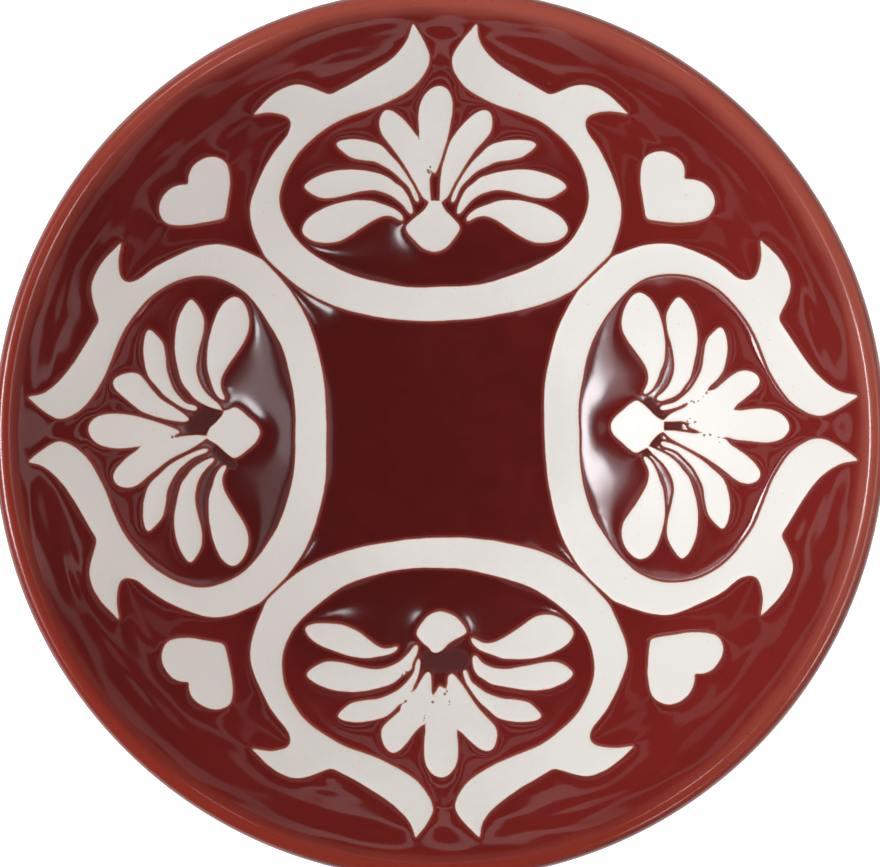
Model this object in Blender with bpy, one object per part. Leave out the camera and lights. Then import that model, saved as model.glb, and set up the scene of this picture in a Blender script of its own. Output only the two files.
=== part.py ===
"""Shallow earthenware bowl with a raised red glaze ground and white palmette figures.

Units are metres and +Z is up. The origin is the middle of the foot ring, on the
table. The bowl is thrown and turned as one piece of clay. A thick red glaze ground
covers its inside and leaves windows, and the white figures lie in those windows, a
little lower than the ground. Thinner coats cover the lip and the outside.

Every figure is drawn flat, in plan, in millimetres as seen from straight above,
with x across the motif and y outwards from the middle of the bowl. It is then
laid on the curved wall and thickened along the wall's own normal.
"""

import math

import bmesh
import bpy
from mathutils import Vector
from mathutils.geometry import delaunay_2d_cdt

MM = 0.001

# Clay wall and floor
RIM_RADIUS = 80.0 * MM
HEIGHT = 42.0 * MM
LIP_RADIUS = 1.3 * MM
WALL_THICKNESS = 5.5 * MM
FLOOR_THICKNESS = 5.0 * MM
FLOOR_RADIUS = 21.0 * MM
KNEE_RADIUS = 28.0 * MM
KNEE_SLOPE = math.radians(21.0)

# Foot ring, turned from the same clay
FOOT_RADIUS = 33.0 * MM
FOOT_WIDTH = 6.0 * MM
FOOT_DEPTH = 5.0 * MM
FOOT_BEVEL = 0.9 * MM
FOOT_FILLET = 1.5 * MM

# Glaze coats and figures, measured along the normal of the clay
SEAT_GAP = 0.3 * MM
EDGE_GAP = 0.3 * MM
GROUND_THICKNESS = 0.9 * MM
FIGURE_THICKNESS = 0.5 * MM
LIP_COAT = 0.4 * MM
OUTSIDE_COAT = 0.6 * MM

# Where the coats and the ornament end
LIP_INNER_BAND = 0.8 * MM
LIP_SKIRT = 3.0 * MM
BARE_FOOT_BAND = 2.0 * MM
HORN_MARGIN = 1.4 * MM

# Facets
SEGMENTS = 48
WALL_PITCH = 8.0 * MM
KNEE_PITCH = 3.4 * MM
GROUND_PITCH = 9.5 * MM
OUTLINE_TOLERANCE = 0.13 * MM

# Base colour and roughness
CLAY = ((0.46, 0.15, 0.08), 0.85)
RED_GROUND = ((0.085, 0.008, 0.006), 0.12)
THIN_RED = ((0.26, 0.040, 0.022), 0.16)
WHITE = ((0.74, 0.70, 0.67), 0.55)

# Petals of the right-hand half, anticlockwise, from the second one outwards: each runs
# from its root along the under side to the tip, and back along the upper side.
PETALS = (
    (
        ((1.55, 44.3), (1.9, 44.5), (3.2, 46.2), (4.1, 47.7), (6.4, 51.5), (9.2, 54.8),
         (10.3, 56.4), (10.4, 57.7), (9.9, 59.2), (8.7, 59.9)),
        ((8.7, 59.9), (7.4, 59.4), (4.9, 57.2), (2.9, 54.5), (1.8, 51.8), (1.2, 49.6),
         (1.0, 47.0), (1.1, 45.0), (1.55, 44.3)),
    ),
    (
        ((3.15, 43.6), (3.8, 44.1), (4.9, 46.1), (6.9, 48.1), (9.6, 49.9), (12.9, 50.8),
         (16.1, 51.5), (18.8, 53.7)),
        ((18.8, 53.7), (16.8, 54.5), (13.9, 54.5), (10.2, 53.5), (8.2, 51.7), (5.9, 49.1),
         (4.1, 46.3), (3.0, 44.3), (3.15, 43.6)),
    ),
    (
        ((4.2, 41.5), (4.8, 41.7), (6.5, 43.5), (9.4, 45.1), (12.9, 45.4), (16.9, 44.4),
         (20.9, 44.0), (24.4, 45.8)),
        ((24.4, 45.8), (21.9, 47.8), (17.9, 49.1), (13.9, 49.2), (9.9, 48.3), (7.2, 46.7),
         (5.3, 44.9), (4.2, 42.4), (4.2, 41.5)),
    ),
    (
        ((5.9, 39.9), (7.4, 40.4), (10.1, 40.5), (13.2, 38.8), (16.2, 36.9), (19.4, 35.8),
         (22.4, 36.1), (24.65, 38.2)),
        ((24.65, 38.2), (23.1, 40.7), (19.4, 42.7), (15.4, 43.7), (11.4, 43.5), (8.1, 42.2),
         (6.2, 40.8), (5.9, 39.9)),
    ),
)

# Right-hand halves of the other figures, anticlockwise. Each line of points is one
# smooth run, and runs meet at corners. The open ogee frame goes out along its base
# and flank, round the thorn and the shoulder to the horn, and back down inside.
FRAME_RUNS = (
    ((0.0, 20.2), (4.0, 20.25), (10.0, 20.75), (20.0, 22.9), (26.0, 26.7)),
    ((26.0, 26.7), (31.9, 32.6)),
    ((31.9, 32.6), (34.0, 38.8), (34.2, 43.0), (31.7, 49.5), (27.8, 55.6), (27.7, 57.7),
     (31.0, 58.6), (34.7, 58.1)),
    ((34.7, 58.1), (30.3, 61.8), (25.6, 63.4), (20.3, 62.1)),
    ((20.3, 62.1), (12.6, 66.5), (8.7, 69.3), (6.6, 71.9), (5.9, 74.6)),
    ((5.9, 74.6), (3.2, 71.4), (2.0, 68.8), (4.3, 64.8), (9.6, 61.5), (19.6, 57.2),
     (26.2, 51.2), (28.6, 43.6), (25.4, 36.4), (18.0, 30.5), (10.0, 27.6), (4.0, 26.6),
     (0.0, 26.5)),
)
DIAMOND_RUNS = (
    ((0.0, 34.1), (2.5, 35.3), (4.85, 38.9)),
    ((4.85, 38.9), (3.1, 40.8), (1.9, 41.9), (0.0, 43.3)),
)
MIDDLE_PETAL_RUNS = (
    ((0.0, 47.8), (0.8, 50.0), (2.0, 53.3), (3.1, 58.0), (3.0, 61.3), (1.6, 63.6), (0.0, 64.3)),
)
HEART_RUNS = (
    ((0.0, 55.0), (5.8, 59.1), (7.9, 62.1), (7.1, 64.8), (3.9, 66.1), (0.0, 65.1)),
)


class Profile:
    """Inside line of the clay: flat floor, knee arc, wall arc, up to the round lip."""

    def __init__(self):
        lip_coated = LIP_RADIUS + SEAT_GAP + LIP_COAT
        self.floor_z = FOOT_DEPTH + FLOOR_THICKNESS
        self.lip_r = RIM_RADIUS - lip_coated
        self.lip_z = HEIGHT - lip_coated
        self.knee_r = FLOOR_RADIUS + KNEE_RADIUS * math.sin(KNEE_SLOPE)
        self.knee_z = self.floor_z + KNEE_RADIUS * (1 - math.cos(KNEE_SLOPE))
        self.end_slope = self.solve_end_slope()
        self.end_r = self.lip_r - LIP_RADIUS * math.sin(self.end_slope)
        rise = math.sin(self.end_slope) - math.sin(KNEE_SLOPE)
        self.wall_radius = (self.end_r - self.knee_r) / rise

    def solve_end_slope(self):
        """Slope at which an arc that leaves the knee smoothly touches the round lip."""
        slope = 2 * KNEE_SLOPE
        for _ in range(30):
            run = self.lip_r - LIP_RADIUS * math.sin(slope) - self.knee_r
            rise = self.lip_z + LIP_RADIUS * math.cos(slope) - self.knee_z
            slope = 2 * math.atan2(rise, run) - KNEE_SLOPE
        return slope

    def at(self, r):
        """Height and slope of the inside at radius r."""
        if r <= FLOOR_RADIUS:
            return self.floor_z, 0.0
        if r <= self.knee_r:
            slope = math.asin((r - FLOOR_RADIUS) / KNEE_RADIUS)
            return self.floor_z + KNEE_RADIUS * (1 - math.cos(slope)), slope
        slope = math.asin(math.sin(KNEE_SLOPE) + (r - self.knee_r) / self.wall_radius)
        return self.knee_z + self.wall_radius * (math.cos(KNEE_SLOPE) - math.cos(slope)), slope

    def lifted(self, r, lift):
        """Radius and height of the point that is lift above the inside at radius r."""
        z, slope = self.at(r)
        return r - lift * math.sin(slope), z + lift * math.cos(slope)

    def outside(self, share, lift=0.0):
        """Radius and height on the outer wall, from the knee at 0 to the lip at 1."""
        r = self.knee_r + (self.end_r - self.knee_r) * share
        thickness = WALL_THICKNESS + (2 * LIP_RADIUS - WALL_THICKNESS) * share
        return self.lifted(r, -thickness - lift)

    def outside_share(self, radius):
        """How far up the outer wall it reaches the given radius."""
        low, high = 0.0, 1.0
        for _ in range(40):
            middle = (low + high) / 2
            if self.outside(middle)[0] < radius:
                low = middle
            else:
                high = middle
        return low

    def skirt_share(self, drop):
        """How far up the outer wall a point is that lies drop below the lip."""
        return 1.0 - drop / math.dist(self.outside(0.0), self.outside(1.0))


PROFILE = Profile()
LIP_START = PROFILE.end_r - LIP_INNER_BAND
GROUND_EDGE = LIP_START - EDGE_GAP


def material(name, look):
    colour, roughness = look
    made = bpy.data.materials.new(name)
    made.use_nodes = True
    shader = made.node_tree.nodes["Principled BSDF"]
    shader.inputs["Base Color"].default_value = (*colour, 1.0)
    shader.inputs["Roughness"].default_value = roughness
    shader.inputs["Metallic"].default_value = 0.0
    made.diffuse_color = (*colour, 1.0)
    return made


def finish(bm, name, surface):
    """Turn a finished mesh into a smooth-shaded object."""
    bmesh.ops.recalc_face_normals(bm, faces=bm.faces)
    mesh = bpy.data.meshes.new(name)
    bm.to_mesh(mesh)
    bm.free()
    mesh.materials.append(surface)
    mesh.shade_smooth()
    mesh.set_sharp_from_angle(angle=math.radians(35))
    made = bpy.data.objects.new(name, mesh)
    bpy.context.collection.objects.link(made)
    return made


def spaced(start, end, pitch):
    """Evenly spaced values from start to end, with both ends."""
    steps = max(1, round(abs(end - start) / pitch))
    return [start + (end - start) * i / steps for i in range(steps + 1)]


# Turned pieces


def turn(name, section, surface):
    """Revolve a section of (radius, height) points about the bowl's axis."""
    bm = bmesh.new()
    points = [bm.verts.new((r, 0.0, z)) for r, z in section]
    edges = [bm.edges.new(pair) for pair in zip(points, points[1:])]
    if section[0][0] > 0:
        edges.append(bm.edges.new((points[-1], points[0])))
    bmesh.ops.spin(bm, geom=points + edges, cent=(0, 0, 0), axis=(0, 0, 1),
                   angle=math.tau, steps=SEGMENTS, use_merge=True)
    bmesh.ops.remove_doubles(bm, verts=bm.verts, dist=1e-6)
    return finish(bm, name, surface)


def lip_arc(lift, steps=5):
    """The round of the lip from the inside to the outside, lift above the clay."""
    start = math.pi / 2 + PROFILE.end_slope
    radius = LIP_RADIUS + lift
    angles = [start - math.pi * i / steps for i in range(steps + 1)]
    return [(PROFILE.lip_r + radius * math.cos(a), PROFILE.lip_z + radius * math.sin(a))
            for a in angles]


def outer_wall(start, end, lift):
    """Points of the outer wall between two shares of it, lift above the clay."""
    length = abs(start - end) * (PROFILE.end_r - PROFILE.knee_r)
    return [PROFILE.outside(share, lift) for share in spaced(start, end, WALL_PITCH / length)]


def clay_body(surface):
    """Floor, wall, round lip and foot ring, thrown and turned from one piece."""
    knee = spaced(FLOOR_RADIUS, PROFILE.knee_r, KNEE_PITCH)
    wall = spaced(PROFILE.knee_r, PROFILE.end_r, WALL_PITCH)[1:-1]
    inside = [(r, PROFILE.at(r)[0]) for r in [0.0] + knee + wall]
    fillet_end = PROFILE.outside_share(FOOT_RADIUS + FOOT_FILLET)
    corner = PROFILE.outside(PROFILE.outside_share(FOOT_RADIUS))
    outside = outer_wall(1.0, fillet_end, 0.0)[1:]
    fillet = (outside[-1], corner, (FOOT_RADIUS, corner[1] - FOOT_FILLET))
    outside += [tuple(bezier(fillet, t)) for t in (0.35, 0.7, 1.0)]
    inner = FOOT_RADIUS - FOOT_WIDTH
    foot = [
        (FOOT_RADIUS, FOOT_BEVEL),
        (FOOT_RADIUS - FOOT_BEVEL, 0.0),
        (inner + FOOT_BEVEL, 0.0),
        (inner, FOOT_BEVEL),
        (inner, FOOT_DEPTH - FOOT_BEVEL),
        (inner - FOOT_BEVEL, FOOT_DEPTH),
        (0.0, FOOT_DEPTH),
    ]
    return turn("clay_body", inside + lip_arc(0.0) + outside + foot, surface)


def coat(name, line_at, thickness, surface):
    """A turned coat of even thickness over the line that line_at gives for a lift."""
    section = line_at(SEAT_GAP + thickness) + line_at(SEAT_GAP)[::-1]
    return turn(name, section, surface)


def lip_line(lift):
    """Inner band, round lip and a short skirt down the outside."""
    skirt = PROFILE.outside(PROFILE.skirt_share(LIP_SKIRT), lift)
    return [PROFILE.lifted(LIP_START, lift)] + lip_arc(lift) + [skirt]


def outside_line(lift):
    """Outer wall from below the lip's skirt to the bare band above the foot."""
    start = PROFILE.skirt_share(LIP_SKIRT + EDGE_GAP)
    end = PROFILE.outside_share(FOOT_RADIUS + FOOT_FILLET + BARE_FOOT_BAND)
    return outer_wall(start, end, lift)


# Drawing in plan


def bezier(points, t):
    points = [Vector(p) for p in points]
    while len(points) > 1:
        points = [a.lerp(b, t) for a, b in zip(points, points[1:])]
    return points[0]


def smooth_run(run, steps=8):
    """A smooth line through the points of one run (centripetal Catmull-Rom)."""
    points = [Vector(point) for point in run]
    if len(points) == 2:
        return points
    points = [2 * points[0] - points[1]] + points + [2 * points[-1] - points[-2]]
    line = []
    for p0, p1, p2, p3 in zip(points, points[1:], points[2:], points[3:]):
        t1 = math.sqrt((p1 - p0).length)
        t2 = t1 + math.sqrt((p2 - p1).length)
        t3 = t2 + math.sqrt((p3 - p2).length)
        for i in range(steps):
            t = t1 + (t2 - t1) * i / steps
            a1 = p0.lerp(p1, t / t1)
            a2 = p1.lerp(p2, (t - t1) / (t2 - t1))
            a3 = p2.lerp(p3, (t - t2) / (t3 - t2))
            b1 = a1.lerp(a2, t / t2)
            b2 = a2.lerp(a3, (t - t1) / (t3 - t1))
            line.append(b1.lerp(b2, (t - t1) / (t2 - t1)))
    return line + [points[-2]]


def thinned(points):
    """Drop the points that lie within the outline tolerance of a straight line."""
    start, end = points[0], points[-1]
    along = (end - start).normalized()
    offsets = [abs((p - start).cross(along)) for p in points]
    worst = max(range(len(points)), key=lambda i: offsets[i])
    if offsets[worst] < OUTLINE_TOLERANCE:
        return [start, end]
    return thinned(points[:worst + 1])[:-1] + thinned(points[worst:])


def to_scale(points):
    """Millimetres of the drawing to metres on this bowl, tied to the ground's edge."""
    drawn_reach = max(point[1] for run in FRAME_RUNS for point in run)
    return [point * (GROUND_EDGE - HORN_MARGIN) / drawn_reach for point in points]


def symmetric_outline(runs):
    """Outline from its right-hand half, whose runs start and end at x = 0."""
    half = []
    for run in runs:
        half = half[:-1] + thinned(to_scale(smooth_run(run)))
    return half + [Vector((-p.x, p.y)) for p in reversed(half[1:-1])]


def petal_outline(runs, side):
    """Outline of a petal from its two runs; side is -1 for its mirror image."""
    outline = []
    for run in runs:
        outline += thinned(to_scale(smooth_run(run)))[:-1]
    return [Vector((side * p.x, p.y)) for p in outline[::side]]


def quarter_turned(points, quarters):
    """Turn an outline drawn at +Y clockwise, as seen from above."""
    c, s = math.cos(quarters * math.pi / 2), math.sin(quarters * math.pi / 2)
    return [Vector((p.x * c + p.y * s, p.y * c - p.x * s)) for p in points]


def widened(points, margin):
    """The outline moved outwards by a margin; sharp tips don't grow into spikes."""
    moved = []
    for before, point, after in zip(points[-1:] + points, points, points[1:] + points[:1]):
        first = (point - before).normalized()
        second = (after - point).normalized()
        normal = Vector((first.y + second.y, -first.x - second.x)).normalized()
        stretch = max(0.6, normal.dot(Vector((first.y, -first.x))))
        moved.append(point + normal * margin / stretch)
    return moved


def is_inside(point, polygon):
    odd = False
    for a, b in zip(polygon, polygon[1:] + polygon[:1]):
        if (a.y > point.y) != (b.y > point.y):
            if point.x < a.x + (b.x - a.x) * (point.y - a.y) / (b.y - a.y):
                odd = not odd
    return odd


# Laying the drawing on the wall


def on_wall(point, lift):
    """Place a plan point on the inside of the bowl, lift above the clay."""
    r = point.length
    lifted_r, z = PROFILE.lifted(r, lift)
    share = lifted_r / r if r > 0 else 1.0
    return Vector((point.x * share, point.y * share, z))


def lay(name, points, faces, thickness, surface):
    """Lay a flat triangulated drawing on the wall and extrude it off the wall."""
    bm = bmesh.new()
    number = bm.verts.layers.int.new("plan_point")
    verts = []
    for i, point in enumerate(points):
        vert = bm.verts.new(on_wall(point, SEAT_GAP))
        vert[number] = i
        verts.append(vert)
    sheet = [bm.faces.new([verts[i] for i in face]) for face in faces]
    raised = bmesh.ops.extrude_face_region(bm, geom=sheet)["geom"]
    for vert in raised:
        if isinstance(vert, bmesh.types.BMVert):
            vert.co = on_wall(points[vert[number]], SEAT_GAP + thickness)
    unused = [vert for vert in bm.verts if not vert.link_faces]
    bmesh.ops.delete(bm, geom=unused, context="VERTS")
    return finish(bm, name, surface)


def loop_edges(first, count):
    return [(first + i, first + (i + 1) % count) for i in range(count)]


def figure(name, outline, surface):
    """One white figure, filled with triangles in plan and laid on the wall."""
    points, _, faces, *_ = delaunay_2d_cdt(outline, loop_edges(0, len(outline)), [], 1, 1e-9)
    return lay(name, points, faces, FIGURE_THICKNESS, surface)


def circle(radius, count):
    angles = [math.tau * i / count for i in range(count)]
    return [Vector((radius * math.cos(a), radius * math.sin(a))) for a in angles]


def ground_glaze(figures, surface):
    """Thick red ground over the inside, with a window round each figure."""
    windows = [widened(outline, EDGE_GAP) for outline in figures]
    points = circle(GROUND_EDGE, SEGMENTS)
    edges = loop_edges(0, SEGMENTS)
    for window in windows:
        edges += loop_edges(len(points), len(window))
        points += window
    radii = spaced(FLOOR_RADIUS, PROFILE.knee_r, KNEE_PITCH * 2)
    radii += spaced(PROFILE.knee_r, GROUND_EDGE, GROUND_PITCH)[1:-1]
    for r in radii:
        ring = circle(r, max(SEGMENTS // 2, round(math.tau * r / GROUND_PITCH)))
        points += [point for point in ring if is_clear(point, windows)]
    points, _, faces, *_ = delaunay_2d_cdt(points, edges, [], 1, 1e-9)
    ground = []
    for face in faces:
        middle = sum((points[i] for i in face), Vector((0.0, 0.0))) / len(face)
        if not any(is_inside(middle, window) for window in windows):
            ground.append(face)
    return lay("ground_glaze", points, ground, GROUND_THICKNESS, surface)


def is_clear(point, windows):
    """Whether a point of the ground lies well away from every window."""
    if any(is_inside(point, window) for window in windows):
        return False
    return min((point - p).length for window in windows for p in window) > GROUND_PITCH / 3


def motif_outlines():
    """Names and outlines of the figures of the motif at +Y, drawn once."""
    outlines = {"frame": symmetric_outline(FRAME_RUNS)}
    outlines["diamond"] = symmetric_outline(DIAMOND_RUNS)
    outlines["petal_1"] = symmetric_outline(MIDDLE_PETAL_RUNS)
    for i, runs in enumerate(PETALS):
        outlines[f"petal_{2 * i + 2}"] = petal_outline(runs, -1)
        outlines[f"petal_{2 * i + 3}"] = petal_outline(runs, 1)
    return outlines


def build():
    for existing in list(bpy.data.objects):
        bpy.data.objects.remove(existing, do_unlink=True)
    thin_red = material("thin_red_glaze", THIN_RED)
    white = material("white_slip", WHITE)

    clay_body(material("red_clay", CLAY))
    coat("lip_glaze", lip_line, LIP_COAT, thin_red)
    coat("outside_glaze", outside_line, OUTSIDE_COAT, thin_red)

    figures = {}
    heart = symmetric_outline(HEART_RUNS)
    for motif in range(4):
        for piece, outline in motif_outlines().items():
            figures[f"palmette_{motif + 1}_{piece}"] = quarter_turned(outline, motif)
        figures[f"heart_{motif + 1}"] = quarter_turned(heart, motif + 0.5)
    for name, outline in figures.items():
        figure(name, outline, white)
    ground_glaze(list(figures.values()), material("red_ground_glaze", RED_GROUND))


build()
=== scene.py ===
"""Looks of a shallow earthenware bowl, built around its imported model.

The bowl is red clay. A thick glossy red glaze ground covers its inside and stands a
little higher than the white figures in its windows: four open ogee frames, each with
a palmette of nine petals and a diamond, and four hearts. Thinner coats cover the lip
and the outside, and the foot is bare.

The drawing is in millimetres, in plan, seen from straight above: x runs across a motif
and y outwards from the middle of the bowl. Everything that is placed is in metres.
"""

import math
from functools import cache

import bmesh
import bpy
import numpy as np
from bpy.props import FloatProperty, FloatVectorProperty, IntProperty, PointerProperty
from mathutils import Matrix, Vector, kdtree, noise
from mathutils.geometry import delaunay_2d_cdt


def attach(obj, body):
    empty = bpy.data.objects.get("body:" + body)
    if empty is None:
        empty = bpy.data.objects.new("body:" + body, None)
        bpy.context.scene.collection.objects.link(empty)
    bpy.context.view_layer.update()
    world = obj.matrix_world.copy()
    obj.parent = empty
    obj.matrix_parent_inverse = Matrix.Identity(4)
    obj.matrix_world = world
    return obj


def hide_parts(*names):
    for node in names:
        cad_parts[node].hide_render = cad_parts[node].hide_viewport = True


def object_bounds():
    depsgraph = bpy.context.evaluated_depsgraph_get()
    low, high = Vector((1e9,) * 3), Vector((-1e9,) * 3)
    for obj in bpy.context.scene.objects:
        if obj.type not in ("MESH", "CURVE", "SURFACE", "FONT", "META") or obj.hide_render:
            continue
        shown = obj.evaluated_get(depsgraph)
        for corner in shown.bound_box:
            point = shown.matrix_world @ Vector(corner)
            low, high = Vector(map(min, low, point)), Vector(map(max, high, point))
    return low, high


bl_info = {
    "name": "Palmette Bowl",
    "version": (1, 0, 0),
    "blender": (4, 5, 0),
    "location": "3D View > Sidebar > Palmette Bowl",
    "description": "Builds a glazed earthenware bowl with raised ornament around its packed model",
    "category": "Object",
}

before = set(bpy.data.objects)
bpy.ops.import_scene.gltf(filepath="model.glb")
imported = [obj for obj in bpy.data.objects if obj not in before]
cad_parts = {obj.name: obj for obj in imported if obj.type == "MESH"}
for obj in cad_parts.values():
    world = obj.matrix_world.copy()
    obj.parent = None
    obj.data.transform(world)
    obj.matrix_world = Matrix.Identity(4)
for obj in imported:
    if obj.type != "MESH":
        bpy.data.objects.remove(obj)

CAD_BOX = [list(corner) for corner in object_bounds()]
MM = 0.001

# The drawing, right-hand halves, anticlockwise: each line of points is one smooth run
FRAME_RUNS = (
    ((0.0, 20.2), (4.0, 20.25), (10.0, 20.75), (20.0, 22.9), (26.0, 26.7), (31.9, 32.6)),
    ((31.9, 32.6), (34.0, 38.8), (34.2, 43.0), (31.8, 49.5), (30.2, 52.3), (27.8, 55.6),
     (27.7, 57.7), (31.0, 58.6), (34.7, 58.1)),
    ((34.7, 58.1), (30.3, 61.8), (25.6, 63.4), (20.3, 62.1)),
    ((20.3, 62.1), (12.6, 66.5), (8.7, 69.3), (6.6, 71.9), (5.9, 74.6)),
    ((5.9, 74.6), (3.2, 71.4), (2.0, 68.8), (4.3, 64.8), (9.6, 61.5), (19.6, 57.2), (26.2, 51.2),
     (28.6, 43.6), (25.4, 36.4), (18.0, 30.5), (10.0, 27.6), (4.0, 26.6), (0.0, 26.5)),
)
DIAMOND_RUNS = (
    ((0.0, 34.1), (0.5, 34.2), (1.5, 34.6), (2.5, 35.3), (3.4, 36.4), (4.3, 37.6), (4.85, 38.9)),
    ((4.85, 38.9), (4.1, 39.8), (3.1, 40.9), (1.9, 42.0), (1.2, 43.2), (0.0, 43.9)),
)
HEART_RUNS = (
    ((0.0, 55.0), (3.0, 57.0), (5.9, 59.2), (7.9, 62.1), (7.1, 64.8), (5.2, 66.0), (3.0, 66.2),
     (1.3, 65.5), (0.4, 64.8), (0.0, 64.2)),
)
MIDDLE_PETAL_RUNS = (
    ((0.0, 48.2), (0.45, 48.9), (0.95, 50.0), (1.5, 51.4), (2.1, 53.3), (2.75, 55.6), (3.05, 57.5),
     (3.2, 59.5), (3.0, 61.3), (2.3, 62.9), (1.2, 63.9), (0.0, 64.3)),
)

# The other petals on the right, from the middle one outwards, each all the way round
PETAL_RUNS = (
    ((1.4, 43.3), (1.9, 43.8), (2.5, 44.6), (3.2, 45.8), (4.1, 47.5), (5.1, 49.4), (6.4, 51.3),
     (7.9, 53.2), (9.2, 54.6), (10.0, 55.6), (10.3, 56.2), (10.5, 57.5), (10.2, 58.9), (9.5, 59.8),
     (8.6, 59.95), (7.4, 59.5), (6.2, 58.6), (4.9, 57.3), (3.7, 55.8), (2.9, 54.7), (2.3, 53.5),
     (1.8, 52.0), (1.3, 50.0), (1.0, 48.0), (0.9, 46.0), (0.9, 44.2), (1.4, 43.3)),
    ((18.8, 53.7), (17.7, 54.3), (15.9, 54.6), (13.9, 54.6), (11.9, 54.3), (10.2, 53.8),
     (9.1, 53.0), (8.2, 52.0), (7.1, 51.0), (5.9, 49.5), (4.9, 48.0), (4.0, 46.6), (3.4, 45.3),
     (2.9, 44.0), (2.8, 43.3), (3.2, 43.2), (3.8, 43.7), (4.3, 45.0), (4.9, 46.2), (5.9, 47.2),
     (6.9, 48.2), (8.2, 49.2), (9.6, 49.9), (11.2, 50.6), (12.9, 50.8), (14.9, 51.1), (16.1, 51.4),
     (17.1, 52.1), (18.1, 52.9), (18.8, 53.7)),
    ((24.4, 45.9), (23.5, 46.9), (21.9, 47.9), (19.9, 48.7), (17.9, 49.1), (15.9, 49.3),
     (13.9, 49.2), (11.9, 48.9), (9.9, 48.4), (8.2, 47.8), (7.2, 46.9), (6.1, 46.2), (5.3, 45.2),
     (4.6, 43.9), (4.1, 42.4), (3.9, 41.3), (4.2, 41.0), (4.7, 41.2), (5.5, 42.3), (6.5, 43.4),
     (7.8, 44.4), (9.4, 45.1), (11.2, 45.5), (12.9, 45.4), (14.9, 45.0), (16.9, 44.4),
     (18.9, 44.0), (20.9, 43.95), (22.2, 44.4), (23.4, 45.1), (24.4, 45.9)),
    ((5.7, 39.7), (6.5, 39.9), (7.4, 40.5), (8.6, 40.8), (10.1, 40.6), (11.7, 39.8), (13.2, 38.8),
     (14.7, 37.8), (16.2, 36.9), (17.9, 36.1), (19.4, 35.8), (20.9, 35.8), (22.4, 36.1),
     (23.7, 36.8), (24.4, 37.5), (24.65, 38.2), (24.2, 39.4), (23.1, 40.7), (21.4, 41.8),
     (19.4, 42.7), (17.4, 43.3), (15.4, 43.7), (13.4, 43.8), (11.4, 43.6), (9.9, 43.0),
     (8.1, 42.4), (6.7, 41.6), (5.8, 40.6), (5.7, 39.7)),
)

# Places of each piece that the painter's hand moved, as drawn: on the right-hand half,
# and on the middle line
MARKS = {
    "frame": (
        ((5.9, 74.6), (2.0, 68.8), (20.3, 62.1), (25.6, 63.4), (34.7, 58.1), (27.7, 57.4),
         (34.2, 42.5), (28.6, 43.8), (31.9, 32.6), (25.4, 36.4), (18.0, 30.5), (10.0, 27.6),
         (10.0, 20.75), (20.0, 22.9)),
        ((0.0, 26.5), (0.0, 20.2)),
    ),
    "diamond": (
        ((4.85, 38.9), (3.1, 40.9), (3.4, 36.4)),
        ((0.0, 43.9), (0.0, 34.1)),
    ),
    "petal_1": (
        ((3.2, 59.5),),
        ((0.0, 64.3), (0.0, 48.2)),
    ),
    "petal_2": (
        ((9.05, 59.95), (1.4, 43.3), (10.5, 57.5), (4.9, 57.3), (5.1, 49.4), (1.3, 50.0)),
    ),
    "petal_4": (
        ((18.8, 53.7), (3.2, 43.2), (13.9, 54.6), (12.9, 50.8), (5.9, 49.5)),
    ),
    "petal_6": (
        ((24.4, 45.9), (4.2, 41.0), (15.9, 49.3), (12.9, 45.4), (6.1, 46.2)),
    ),
    "petal_8": (
        ((24.65, 38.2), (5.7, 39.7), (13.4, 43.8), (14.7, 37.8), (20.9, 35.8)),
    ),
}

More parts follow.
